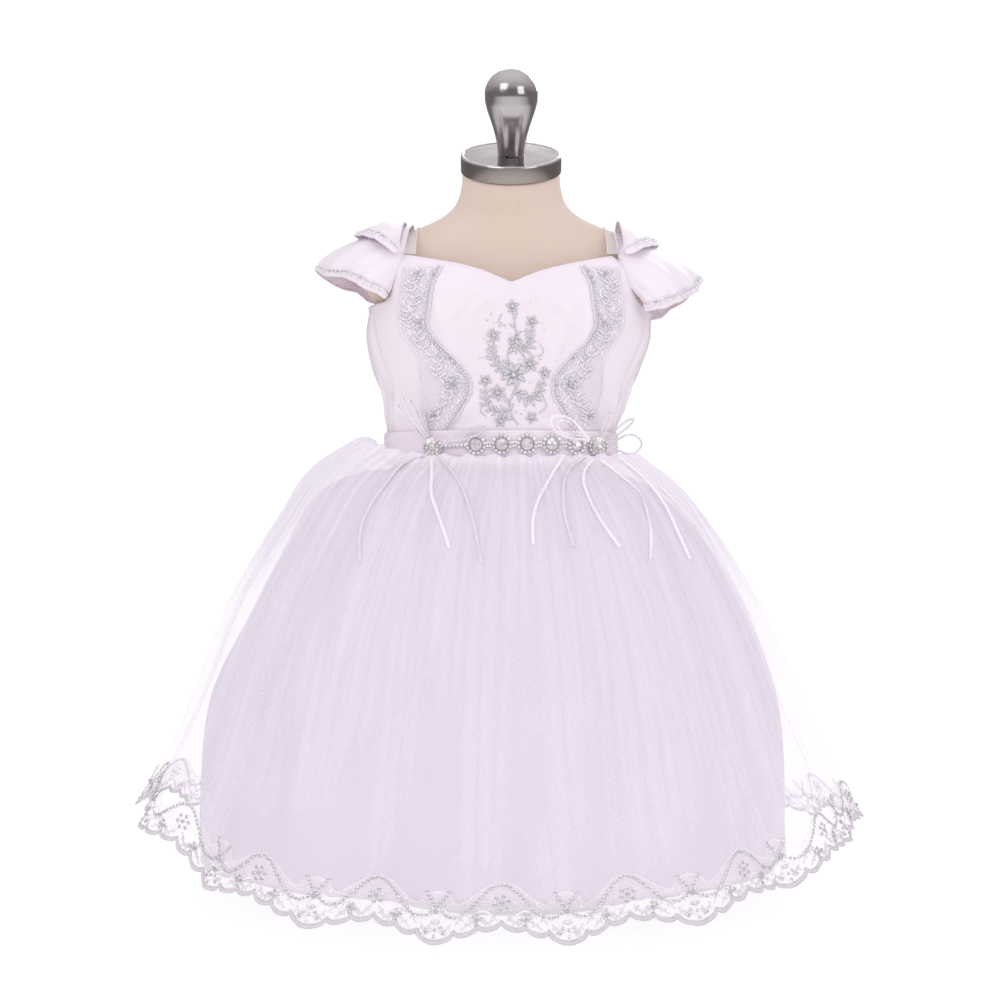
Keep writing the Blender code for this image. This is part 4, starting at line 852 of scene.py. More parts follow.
# ----------------------------------------------------------- light, floor
def build_stage():
    world = bpy.data.worlds.new("studio")
    scene.world = world
    world.use_nodes = True
    t = world.node_tree
    t.nodes.clear()
    out = t.nodes.new("ShaderNodeOutputWorld")
    path = t.nodes.new("ShaderNodeLightPath")
    white = t.nodes.new("ShaderNodeBackground")
    white.inputs[0].default_value = (1.0, 1.0, 1.0, 1.0)
    white.inputs[1].default_value = 1.05
    fill = t.nodes.new("ShaderNodeBackground")
    fill.inputs[0].default_value = (0.98, 0.965, 1.0, 1.0)
    fill.inputs[1].default_value = 0.90
    # what shiny pieces mirror: a studio that is darker low down
    gloss = t.nodes.new("ShaderNodeBackground")
    gloss.inputs[1].default_value = 0.98
    coord = t.nodes.new("ShaderNodeTexCoord")
    sep = t.nodes.new("ShaderNodeSeparateXYZ")
    t.links.new(coord.outputs["Generated"], sep.inputs[0])
    ramp = t.nodes.new("ShaderNodeValToRGB")
    ramp.color_ramp.elements[0].position = 0.20
    ramp.color_ramp.elements[0].color = (0.24, 0.225, 0.23, 1)
    ramp.color_ramp.elements[1].position = 0.95
    ramp.color_ramp.elements[1].color = (1.0, 0.98, 1.0, 1)
    mid = ramp.color_ramp.elements.new(0.55)
    mid.color = (0.66, 0.63, 0.65, 1)
    t.links.new(sep.outputs["Z"], ramp.inputs[0])
    t.links.new(ramp.outputs[0], gloss.inputs[0])
    a = t.nodes.new("ShaderNodeMixShader")
    t.links.new(path.outputs["Is Glossy Ray"], a.inputs[0])
    t.links.new(fill.outputs[0], a.inputs[1])
    t.links.new(gloss.outputs[0], a.inputs[2])
    b = t.nodes.new("ShaderNodeMixShader")
    t.links.new(path.outputs["Is Camera Ray"], b.inputs[0])
    t.links.new(a.outputs[0], b.inputs[1])
    t.links.new(white.outputs[0], b.inputs[2])
    t.links.new(b.outputs[0], out.inputs[0])

    def softbox(name, loc, aim, size, watts, colour=(1, 1, 1)):
        data = bpy.data.lights.new(name, "AREA")
        data.shape = "RECTANGLE"
        data.size, data.size_y = size
        data.energy = watts
        data.color = colour
        obj = bpy.data.objects.new(name, data)
        obj.location = loc
        obj.rotation_euler = (Vector(aim) - Vector(loc)).to_track_quat(
            "-Z", "Y").to_euler()
        scene.collection.objects.link(obj)

    softbox("key", (-1.15, -1.75, 1.55), (0, 0, 0.30), (1.2, 1.2), 7.0,
            (1.0, 0.985, 0.99))
    softbox("fill", (1.35, -1.55, 1.05), (0, 0, 0.30), (1.0, 1.1), 5.4,
            (0.97, 0.97, 1.0))
    softbox("rim", (0.4, 1.7, 1.5), (0, 0, 0.30), (1.3, 0.8), 9.0)

    n = 96
    rings = (0.0, 0.25, 0.5, 0.9, 1.5, 2.4)
    verts, faces = [(0.0, 0.0, 0.0)], []
    for r in rings[1:]:
        for j in range(n):
            q = 2 * math.pi * j / n
            verts.append((r * math.cos(q), r * math.sin(q), 0.0))
    for j in range(n):
        faces.append((0, 1 + j, 1 + (j + 1) % n))
    for i in range(len(rings) - 2):
        for j in range(n):
            k = (j + 1) % n
            faces.append((1 + i * n + j, 1 + (i + 1) * n + j,
                          1 + (i + 1) * n + k, 1 + i * n + k))
    mesh = bpy.data.meshes.new("floor")
    mesh.from_pydata(verts, [], faces)
    floor = bpy.data.objects.new("floor", mesh)
    scene.collection.objects.link(floor)
    m = Mat("floor_paper")
    v = m.coord.outputs["Object"]
    grain = m.noise(v, 900.0, 2.0)
    dist = m.node("VectorMath", {0: v}, operation="LENGTH").outputs["Value"]
    fade = m.span(dist, 1.0, 0.0, 0.55, 2.2)
    m.set(Base_Color=m.mix(grain, (0.12, 0.12, 0.12), (0.15, 0.15, 0.15)),
          Roughness=m.span(grain, 0.80, 0.90), Specular_IOR_Level=0.1,
          Normal=m.bump(grain, 0.1, 0.0002), Alpha=fade)
    m.set(Emission_Color=(1.0, 0.99, 1.0, 1.0), Emission_Strength=0.91)
    floor.data.materials.append(m.mat)


build_stage()


# ------------------------------------------------------------------ skirt
SIDES = ("left", "right", "front", "back")
# medium creases: azimuth at mid skirt, half width and drift
# (degrees), depth (+ ridge, - trough), where it begins and ends from the
# waist (0) to the hem (1)
PLEAT_COLUMNS = ("azimuth", "width", "drift", "depth", "start", "end")
PLEATS = (
    (-171, 2.6, 2, 0.0024, 0.10, 0.92), (-162, 1.9, -3, -0.0022, 0.30, 1.00),
    (-155, 2.4, 3, 0.0026, 0.05, 0.70), (-149, 1.5, 0, -0.0018, 0.35, 0.95),
    (-141, 2.8, 4, 0.0022, 0.20, 1.00), (-134, 1.7, -2, -0.0020, 0.08, 0.60),
    (-126, 2.2, 3, 0.0026, 0.25, 0.90), (-118, 1.6, -3, -0.0024, 0.40, 1.00),
    (-111, 2.5, 2, 0.0020, 0.05, 0.75), (-103, 1.5, 0, 0.0018, 0.45, 1.00),
    (-97, 1.3, 2, -0.0018, 0.15, 0.85), (-90, 1.6, 1, 0.0022, 0.10, 1.00),
    (-84, 1.2, -2, 0.0018, 0.20, 0.95), (-78, 1.5, 2, -0.0020, 0.06, 0.70),
    (-72, 1.3, 1, 0.0022, 0.15, 1.00), (-66, 1.2, -2, 0.0016, 0.40, 0.98),
    (-60, 1.8, 2, -0.0022, 0.12, 0.80), (-55, 1.3, 1, 0.0018, 0.30, 1.00),
    (-51, 1.4, 0, -0.0024, 0.34, 0.62), (-43, 3.0, -1, -0.0030, 0.46, 0.92),
    (-39, 1.7, 0, 0.0030, 0.42, 0.72), (-34, 1.0, 2, -0.0026, 0.50, 0.86),
    (-30, 1.5, -3, -0.0022, 0.14, 0.60), (-25, 1.6, -2, 0.0024, 0.10, 0.74),
    (-20, 1.2, 2, -0.0016, 0.28, 0.96), (-15, 2.0, -1, 0.0020, 0.08, 0.56),
    (-10, 1.4, 2, -0.0018, 0.12, 0.64), (-5, 1.8, 1, 0.0024, 0.20, 0.98),
    (1, 1.3, -1, -0.0016, 0.06, 0.52), (5, 1.5, 2, -0.0026, 0.80, 1.00),
    (8, 1.9, 2, 0.0022, 0.14, 0.90), (13, 1.4, -1, -0.0014, 0.30, 0.72),
    (18, 1.6, 1, 0.0020, 0.08, 0.66), (23, 2.2, -2, -0.0038, 0.24, 0.96),
    (27, 1.2, 2, 0.0018, 0.34, 0.90), (31, 1.6, 2, 0.0020, 0.12, 0.54),
    (35, 1.5, -2, -0.0026, 0.26, 0.82), (41, 1.6, 2, 0.0020, 0.18, 0.94),
    (47, 1.3, 1, -0.0018, 0.10, 0.60), (52, 1.4, -2, 0.0022, 0.30, 1.00),
    (58, 1.6, 2, -0.0022, 0.14, 0.86), (64, 1.0, 2, 0.0024, 0.30, 0.98),
    (69, 1.0, 1, 0.0022, 0.36, 0.94), (74, 1.2, -1, -0.0020, 0.08, 0.74),
    (80, 1.4, 2, 0.0018, 0.20, 1.00), (87, 1.6, -2, -0.0018, 0.15, 0.90),
    (94, 1.6, 2, 0.0024, 0.06, 0.95), (101, 1.9, 3, -0.0020, 0.30, 1.00),
    (109, 2.3, -2, 0.0024, 0.12, 0.70), (117, 1.6, 2, -0.0020, 0.35, 0.95),
    (124, 2.1, -3, 0.0026, 0.08, 1.00), (132, 1.8, 2, -0.0022, 0.25, 0.80),
    (139, 2.5, 3, 0.0022, 0.40, 1.00), (147, 1.6, -2, -0.0018, 0.10, 0.65),
    (154, 2.2, 2, 0.0026, 0.20, 0.95), (163, 1.7, -2, -0.0022, 0.35, 1.00),
    (172, 2.4, 2, 0.0020, 0.10, 0.80),
)


def around(angle, values, power=2):
    left, right, front, back = values
    s, c = np.sin(angle), np.cos(angle)
    f = np.abs(s) ** power
    return (np.where(s > 0, right, left) * f
            + np.where(c > 0, front, back) * (1 - f))


def turned(deg, azimuth):
    return (deg - azimuth + 180.0) % 360.0 - 180.0


def fold_depth(angle):
    deg = np.degrees(angle)
    return sum(depth * np.exp(-(turned(deg, az) / width) ** 2)
               for az, width, depth in FOLDS)


def crease_shift(angle, f, seed=3):
    """Outward shift of the medium pleats and the fine gathers; f runs from
    the waist (0) to the hem (1)."""
    deg = np.degrees(angle)
    total = np.zeros(np.broadcast(deg, f).shape)
    for az, width, drift, depth, start, end in PLEATS:
        d = turned(deg, az + drift * (f - 0.5))
        inside = (smooth01((f - start) / 0.14)
                  * (1 - smooth01((f - end + 0.10) / 0.12)))
        total = total + depth * np.exp(-(d / width) ** 2) * inside
    r = rng(seed)
    for k in range(150):
        az = -180 + 2.4 * k + r.uniform(-0.8, 0.8)
        width = r.uniform(0.55, 1.05)
        depth = r.uniform(0.0004, 0.0011) * (1 if k % 2 else -1)
        end = r.choice([0.22, 0.30, 0.42, 0.60, 0.85, 1.05])
        drift = r.uniform(-2.5, 2.5)
        d = turned(deg, az + drift * (f - 0.1))
        fall = 1 - smooth01((f - end + 0.12) / 0.16)
        rise = smooth01((f - 0.015) / 0.05)
        total = total + depth * np.exp(-(d / width) ** 2) * fall * rise
    return total


def hem_point(angle, w, offset=0.0, shift=0.0):
    az, zs = column(HEM, HEM_COLUMNS, "azimuth"), column(HEM, HEM_COLUMNS, "z")
    deg = (np.degrees(angle) + 180.0) % 360.0 - 180.0
    z0 = curve_at(az, zs, deg)
    flare = around(angle, [HEM_FLARE[k] for k in SIDES])
    fold = fold_depth(angle) + offset + shift
    reach = [HEM_REACH[k] - w * HEM_FLARE[k] + fold for k in SIDES]
    x, y = oval(angle, *reach, SKIRT_SQUARE)
    z = z0 + w * np.sqrt(1 - flare * flare)
    return np.stack(np.broadcast_arrays(x, y, z), -1)


def skirt_point(rows, k, angle, fold):
    row = dict(zip(SKIRT_COLUMNS, rows[k]))
    reach = [row[n] + fold for n in SIDES]
    near = 1 - min(1.0, k / WAIST_ROWS) ** 2
    x, y = oval(angle, *reach, SKIRT_SQUARE + (SQUARE - SKIRT_SQUARE) * near)
    z = around(angle, [row[n + "_z"] for n in SIDES], 4)
    return np.stack([x, y, z], -1)


def loft(keys, rows):
    """Smooth rows through key rows, evenly spaced by their mean distance."""
    keys = np.asarray(keys, float)
    step = np.linalg.norm(np.diff(keys, axis=0), axis=-1).mean(1)
    s = np.concatenate([[0.0], np.cumsum(step)])
    want = np.linspace(0, s[-1], rows)
    k = np.clip(np.searchsorted(s, want, side="right") - 1, 0, len(s) - 2)
    m = np.zeros_like(keys)
    m[1:-1] = (keys[2:] - keys[:-2]) / (s[2:] - s[:-2])[:, None, None]
    m[0] = (keys[1] - keys[0]) / step[0]
    m[-1] = (keys[-1] - keys[-2]) / step[-1]
    h = (s[k + 1] - s[k])[:, None, None]
    t = ((want - s[k]) / (s[k + 1] - s[k]))[:, None, None]
    t2, t3 = t * t, t * t * t
    out = (keys[k] * (2 * t3 - 3 * t2 + 1) + m[k] * h * (t3 - 2 * t2 + t)
           + keys[k + 1] * (3 * t2 - 2 * t3) + m[k + 1] * h * (t3 - t2))
    return out, want / s[-1]


def grid_normals(grid):
    du = np.gradient(grid, axis=1)
    dv = np.gradient(grid, axis=0)
    n = np.cross(du, dv)
    return n / np.maximum(1e-12, np.linalg.norm(n, axis=-1, keepdims=True))


def overlay_grid(angles, rows, offset=0.0):
    keys = [hem_point(angles, OVERLAY_END), hem_point(angles, OVERLAY_JOIN)]
    n = len(OVERLAY)
    for k in range(n - 1, -1, -1):
        f = k / (n - 1)
        gather = (GATHER_DEPTH * math.sin(math.pi * min(1.0, f * 1.25))
                  if k else 0)
        keys.append(skirt_point(
            OVERLAY, k, angles, fold_depth(angles) * f ** 1.6
            + gather * np.cos(GATHERS * angles + 0.7 * np.sin(3 * angles))))
    grid, t = loft(keys, rows)
    f = (1 - t)[:, None] * np.ones(len(angles))[None, :]
    shift = crease_shift(angles[None, :], f)
    hemside = 1 - 0.35 * smooth01((f - 0.90) / 0.10)
    top = smooth01(f / 0.05)
    normal = grid_normals(grid)
    grid = grid + normal * (shift * hemside * top + offset)[..., None]
    # the gathers puff up against the sash
    puff = np.exp(-((f - 0.050) / 0.030) ** 2)
    ripple = np.sin(angles[None, :] * 37
                    + 2.0 * np.sin(angles[None, :] * 5))
    grid[..., 2] += puff * (0.0030 + 0.0010 * ripple)
    grid[..., 0] += puff * 0.0016 * np.sin(angles)[None, :]
    grid[..., 1] -= puff * 0.0026 * np.cos(angles)[None, :]
    return grid, f, shift


def half_angles(middle, cols):
    edge = math.radians(89.985)
    return np.linspace(middle - edge, middle + edge, cols)


SKIRT_ROWS = 84
SKIRT_N = 400
skirt_grids = {}
for part, middle in (("front", 0.0), ("back", math.pi)):
    angles = half_angles(middle, SKIRT_N)
    grid, f, shift = overlay_grid(angles, SKIRT_ROWS)
    skirt_grids[part] = (angles, grid, f)
    # the net looks denser in the sides of the pleats and near the waist
    slope = np.abs(np.gradient(shift, axis=1)) / (math.pi / SKIRT_N * 0.2)
    slope = slope / (slope + 0.35)
    flank = np.abs(np.sin(angles))[None, :] ** 8
    density = (0.28 - 0.17 * f + 0.28 * slope + 0.46 * np.exp(-f * 13.0)
               + 0.30 * np.exp(-f * 4.5)
               + 0.20 * flank * np.exp(-((f - 0.16) / 0.18) ** 2)
               + 0.03 * smooth01((f - 0.90) / 0.08))
    # lower down at the sides the net hangs single and nearly clear
    density = density * (1 - 0.80 * flank * smooth01((f - 0.28) / 0.30))
    turn = np.broadcast_to(angles / (2 * math.pi) * 14.0, density.shape)
    obj = grid_mesh("overlay_" + part, grid, TULLE_MAT,
                    attrs={"layers": density, "turn": turn},
                    uv=np.stack([turn, f], -1).reshape(-1, 2))
    keep(obj, "tulle", "tulle_overlay_" + part)

LINING_ROWS, LINING_N = ((46, 230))
for part, middle in (("front", 0.0), ("back", math.pi)):
    angles = half_angles(middle, LINING_N)
    n = len(LINING)
    keys = [skirt_point(LINING, k, angles, 0.35 * fold_depth(angles)
                        * (k / (n - 1)) ** 2) for k in range(n - 1, -1, -1)]
    keys.append(np.stack(np.broadcast_arrays(*oval(
        angles, 0.0900, 0.0755, 0.0686, 0.0668, SQUARE), 0.3300), -1))
    grid, t = loft(keys, LINING_ROWS)
    f = (1 - t)[:, None] * np.ones(LINING_N)[None, :]
    soft = crease_shift(angles[None, :] * 0.93 + 0.11, f, seed=8)
    wave = 0.0016 * np.sin(np.degrees(angles)[None, :] * 0.31
                           + 1.3 * np.sin(f * 3.1)) * smooth01(f / 0.4)
    grid = grid + grid_normals(grid) * ((soft * 0.85 + wave)
                                        * smooth01(f / 0.08))[..., None]
    obj = grid_mesh("lining_" + part, grid, LINING_MAT,
                    uv=np.stack([np.broadcast_to(angles, f.shape), f],
                                -1).reshape(-1, 2), wall=0.0006)
    keep(obj, "lining", "skirt_lining_" + part)


# ------------------------------------------------------------ lace border
# one repeat: scallop joints with the height of the joint, and the depth of
# the scallop that follows; the large scallop lies round distance 0
JOINT_COLUMNS = ("u", "z", "depth")
JOINTS = (
    (-0.144, 0.0082, 0.0082), (0.144, 0.0082, 0.0046), (0.322, 0.0118, 0.0042),
    (0.500, 0.0150, 0.0042), (0.678, 0.0118, 0.0046), (0.856, 0.0082, 0.0082),
)
TOP_EDGE_COLUMNS = ("u", "high")
TOP_EDGE = ((0.0, 0.0345), (0.09, 0.0320), (0.16, 0.0262), (0.23, 0.0290),
            (0.32, 0.0345), (0.41, 0.0398), (0.50, 0.0418))
# sequin line: along the wave from its crest to the top of the X's arm
WAVE_COLUMNS = ("u", "w")
WAVE = ((0.500, 0.0396), (0.455, 0.0388), (0.400, 0.0358), (0.340, 0.0308),
        (0.280, 0.0252), (0.220, 0.0206), (0.165, 0.0180), (0.115, 0.0174),
        (0.065, 0.0188), (0.020, 0.0222), (-0.025, 0.0262), (-0.070, 0.0306),
        (-0.088, 0.0336))


def hem_run():
    steps = 1440
    a = -np.pi + 2 * np.pi * np.arange(steps + 1) / steps
    x, y = oval(a, *[HEM_REACH[k] for k in SIDES], SKIRT_SQUARE)
    run = np.concatenate([[0.0], np.cumsum(np.hypot(np.diff(x), np.diff(y)))])
    return a, run, float(np.interp(0.0, a, run))


HEM_A, HEM_S, HEM_FRONT = hem_run()
HEM_TOTAL = HEM_S[-1]
PITCH = HEM_TOTAL / LACE_REPEATS
LACE_OFFSET = SHEER + GAP + 0.0006


def lace_low(p):
    """Height of the scalloped edge at a phase 0..1 of the repeat."""
    p = np.asarray(p, float) % 1.0
    q = np.where(p > 0.856, p - 1.0, p)
    out = np.zeros(q.shape)
    for (a, za, depth), (b, zb, _) in zip(JOINTS[:-1], JOINTS[1:]):
        inside = (q >= a) & (q < b)
        t = (q - a) / (b - a)
        arc = np.sqrt(np.clip(1 - (2 * t - 1) ** 2, 0, 1)) ** 0.9
        out = np.where(inside, za + (zb - za) * t - depth * arc, out)
    return out


def lace_high(p):
    p = np.asarray(p, float) % 1.0
    q = np.minimum(p, 1 - p)
    us, hs = zip(*TOP_EDGE)
    return curve_at(us, hs, q)


def lace_surface(s, w):
    """Point of the lace at a distance s along the hem and a height w."""
    angle = np.interp(s % HEM_TOTAL, HEM_S, HEM_A)
    f = 1 - (w - OVERLAY_END) / 0.36
    shift = crease_shift(angle, np.clip(f, 0, 1.02)) * 0.65
    phase = (s - HEM_FRONT - LACE_PHASE) / PITCH
    frill = (0.0012 * np.cos(2 * np.pi * 5 * phase + 0.6)
             + 0.0010 * np.sin(2 * np.pi * 2 * phase)) * np.clip(
                 1 - w / 0.022, 0, 1)
    flip = 0.0030 * np.clip(1 - w / 0.020, 0, 1) ** 1.6
    return hem_point(angle, w, LACE_OFFSET + frill + flip, shift)


# the lace surface and its normals on a table, one cell longer than the hem
TABLE_S, TABLE_W = 3200, 26
TABLE_LOW, TABLE_HIGH = -0.002, 0.046
_s = np.arange(-1, TABLE_S + 2) * HEM_TOTAL / TABLE_S
_w = np.linspace(TABLE_LOW, TABLE_HIGH, TABLE_W)
TABLE = lace_surface(*np.meshgrid(_s, _w))
TABLE_N = grid_normals(TABLE)


def from_table(table, s, w):
    s, w = np.broadcast_arrays(np.asarray(s, float) % HEM_TOTAL,
                               np.asarray(w, float))
    u = s / HEM_TOTAL * TABLE_S + 1
    v = np.clip((w - TABLE_LOW) / (TABLE_HIGH - TABLE_LOW), 0, 0.9999) * (
        TABLE_W - 1)
    j, i = u.astype(int), v.astype(int)
    fu, fv = (u - j)[..., None], (v - i)[..., None]
    return ((table[i, j] * (1 - fu) + table[i, j + 1] * fu) * (1 - fv)
            + (table[i + 1, j] * (1 - fu) + table[i + 1, j + 1] * fu) * fv)


def lace_normal(s, w):
    n = from_table(TABLE_N, s, w)
    return n / np.linalg.norm(n, axis=-1, keepdims=True)


def lace_place(s, w, out=0.0):
    p = from_table(TABLE, s, w)
    return p + lace_normal(s, w) * out if out else p


LACE_N, LACE_ROWS = ((1260, 14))
s = np.arange(LACE_N) / LACE_N * HEM_TOTAL
phase = (s - HEM_FRONT - LACE_PHASE) / PITCH
low, high = lace_low(phase), lace_high(phase)
t = (np.linspace(0, 1, LACE_ROWS) ** 1.25)[:, None]
w = low[None, :] + (high - low)[None, :] * t
grid = lace_place(np.broadcast_to(s, w.shape), w)
from_edge = w - low[None, :]
from_top = high[None, :] - w
edge = np.maximum(1 - smooth01((from_edge - 0.0026) / 0.0010),
                  0.7 * (1 - smooth01((from_top - 0.0006) / 0.0008)))
lace = grid_mesh("lace_hem", grid, LACE_MAT, closed=True,
                 attrs={"edge": edge},
                 uv=np.stack([np.broadcast_to(s, w.shape), w],
                             -1).reshape(-1, 2))
keep(lace, "lace", "lace_border")

# satin-stitched edge: a padded ridge along the scallops with a darker outline
b = Builder()
n_edge = 1500
se = np.arange(n_edge) / n_edge * HEM_TOTAL
le = lace_low((se - HEM_FRONT - LACE_PHASE) / PITCH)
ridge = lace_place(se, le + 0.0014, 0.0004)
nrm = lace_normal(se, le + 0.0014)
v, f = tube(ridge, 0.00155 + 0.00025 * np.sin(se * 5200.0), 6, 0.42, nrm,
            closed=True)
b.add(v, f, 2)
v, f = tube(lace_place(se, le + 0.0002, 0.0002), 0.00042, 5, 0.9, nrm,
            closed=True)
b.add(v, f, 1)
v, f = tube(lace_place(se, le + 0.0030, 0.0003), 0.00040, 5, 0.9, nrm,
            closed=True)
b.add(v, f, 0)
# stitched scroll lines: each follows one repeat of a soft curve
r = rng(21)
for k in range(LACE_REPEATS):
    base = HEM_FRONT + LACE_PHASE + k * PITCH
    for side in (-1, 1):
        for (u0, w0, u1, w1, bend) in ((0.15, 0.0125, 0.30, 0.0185, 0.004),
                                       (0.33, 0.0160, 0.47, 0.0210, -0.004),
                                       (0.20, 0.0100, 0.40, 0.0150, 0.003),
                                       (0.03, 0.0080, 0.12, 0.0130, -0.002)):
            q = np.linspace(0, 1, 12)
            ss = base + side * PITCH * (u0 + (u1 - u0) * q)
            ww = w0 + (w1 - w0) * q + bend * np.sin(np.pi * q)
            nn = lace_normal(ss, ww)
            v, f = tube(lace_place(ss, ww, 0.0004),
                        0.00038 + 0.00022 * np.sin(np.pi * q), 5, 0.6, nn)
            b.add(v, f, 0)
            for m in (3, 6, 9):      # leaves on the scroll
                for way in (-1, 1):
                    e = np.linspace(0, 1, 5)
                    ls = ss[m] + side * 0.0014 * e
                    lw = ww[m] + way * 0.0022 * e
                    nl = lace_normal(ls, lw)
                    v, f = tube(lace_place(ls, lw, 0.0004),
                                0.0006 * np.sin(np.pi * (0.15 + 0.8 * e)),
                                5, 0.5, nl)
                    b.add(v, f, 0)
obj = b.build("lace_stitching", [STITCH_MAT, OUTLINE_MAT, SCALLOP_MAT])
keep(obj, "lace")

# sequins and beads
b = Builder()
r = rng(5)
wu, ww = zip(*WAVE)
wu, ww = np.array(wu), np.array(ww)
fine_t = np.linspace(0, len(wu) - 1, 240)
fu = np.interp(fine_t, np.arange(len(wu)), wu)
fw = curve_at(np.arange(len(wu)), ww, fine_t)
run = np.concatenate([[0], np.cumsum(np.hypot(np.diff(fu) * PITCH,
                                              np.diff(fw)))])
count = int(round(run[-1] / 0.0030))
at = np.linspace(0, run[-1], count + 1)
line_u, line_w = np.interp(at, run, fu), np.interp(at, run, fw)
SEQ_R = 0.00132


def lace_sequin(s, w, radius=SEQ_R, lift=0.0010):
    p = lace_place(np.array([s]), np.array([w]), 0.0)[0]
    n = lace_normal(np.array([s]), np.array([w]))[0]
    add_sequin(b, p, n, radius, r.uniform(-0.28, 0.28), r.uniform(0, 6.28), 0,
               lift=lift)
    return p, n


def lace_bead(s, w, radius, slot, lift=0.8):
    p = lace_place(np.array([s]), np.array([w]), 0.0)[0]
    n = lace_normal(np.array([s]), np.array([w]))[0]
    add_bead(b, p, n, radius, slot, lift=lift)


for k in range(LACE_REPEATS):
    base = HEM_FRONT + LACE_PHASE + k * PITCH
    for side in (-1, 1):
        for i, (lu, lw) in enumerate(zip(line_u, line_w)):
            if side == 1 and i == 0:
                continue
            ss = base + side * lu * PITCH + r.uniform(-0.0002, 0.0002)
            over = 0.0014 if (side == 1 and lu < 0.03) else 0.0010
            lace_sequin(ss, lw, lift=over)
            lace_bead(ss, lw, 0.00058, 1, 2.4)
        # cluster at the scallop joint
        cu, cw = side * 0.315 * PITCH, 0.0165
        lace_bead(base + cu, cw, 0.00165, 2, 0.9)
        for q in (0.3, 1.6, 2.9, 4.4):
            lace_sequin(base + cu + 0.0031 * math.cos(q),
                        cw + 0.0031 * math.sin(q), 0.00135)
        # two small dots of the ground
        lace_bead(base + side * 0.23 * PITCH, 0.0135, 0.0008, 1)
        lace_bead(base + side * 0.43 * PITCH, 0.0185, 0.0008, 1)
    # junction bead and the fan in the large scallop
    lace_bead(base, 0.0205, 0.0019, 2, 0.9)
    for du, w1 in ((-0.0058, 0.0070), (0.0, 0.0050), (0.0058, 0.0070)):
        for q in (0.30, 0.65, 1.0):
            lace_sequin(base + du * q, 0.0172 + (w1 - 0.0172) * q, 0.00140)
    # ring flower under the crest
    cs, cw = base + 0.5 * PITCH, 0.0275
    lace_bead(cs, cw, 0.00175, 2, 0.9)
    for q in range(6):
        ang = q * math.pi / 3 + 0.3
        lace_sequin(cs + 0.0050 * math.cos(ang), cw + 0.0044 * math.sin(ang),
                    0.00150)
hem_trim = b.build("lace_sequins", [RING_MAT, BEAD_MAT, DARK_MAT])
keep(hem_trim, "rhinestone")


# ----------------------------------------------------------------- bodice
BODICE_Z = column(BODICE, BODICE_COLUMNS, "z")
BODICE_R = [column(BODICE, BODICE_COLUMNS, n) for n in SIDES]


def bodice_point(angle, z):
    angle, z = np.broadcast_arrays(np.asarray(angle, float),
                                   np.asarray(z, float))
    reach = [curve_at(BODICE_Z, r, z) for r in BODICE_R]
    x, y = oval(angle, *reach, SQUARE)
    return np.stack([x, y, z], -1)


def bodice_normal(angle, z):
    d = 0.004
    u = bodice_point(angle + d, z) - bodice_point(angle - d, z)
    v = bodice_point(angle, z + 0.0005) - bodice_point(angle, z - 0.0005)
    n = np.cross(u, v)
    return n / np.linalg.norm(n, axis=-1, keepdims=True)


def bodice_out(angle, z, offset):
    return bodice_point(angle, z) + bodice_normal(angle, z) * np.asarray(
        offset)[..., None]


def bodice_angle(x, z):
    x = np.asarray(x, float)
    reach = np.where(x > 0, curve_at(BODICE_Z, BODICE_R[1], z),
                     curve_at(BODICE_Z, BODICE_R[0], z))
    s = np.minimum(1.0, np.abs(x) / reach) ** (SQUARE / 2)
    return np.sign(x) * np.arcsin(s)


def bodice_xz(x, z, offset):
    """Point and normal of the bodice front at x and height z."""
    a = bodice_angle(x, z)
    n = bodice_normal(a, z)
    shift = bodice_crease(a, z) + np.asarray(offset)
    return bodice_point(a, z) + n * np.asarray(shift)[..., None], n


def top_edge(angle):
    angle = np.asarray(angle, float)
    xs = column(TOP, TOP_COLUMNS, "x")
    back = np.abs(angle) > math.pi / 2
    right = angle > 0
    low = np.full(angle.shape, 0.430)
    high = np.full(angle.shape, 0.490)
    tl, tr, tb = [column(TOP, TOP_COLUMNS, n) for n in ("left", "right", "back")]
    for _ in range(36):
        mid = (low + high) / 2
        x = np.abs(bodice_point(angle, mid)[..., 0])
        side = np.where(right, np.interp(x, xs, tr), np.interp(x, xs, tl))
        f = np.clip((x - 0.0975) / 0.012, 0, 1)
        rear = np.interp(x, xs, tb) * (1 - f) + side * f
        want = np.where(back, rear, side)
        low = np.where(mid < want, mid, low)
        high = np.where(mid < want, high, mid)
    return (low + high) / 2


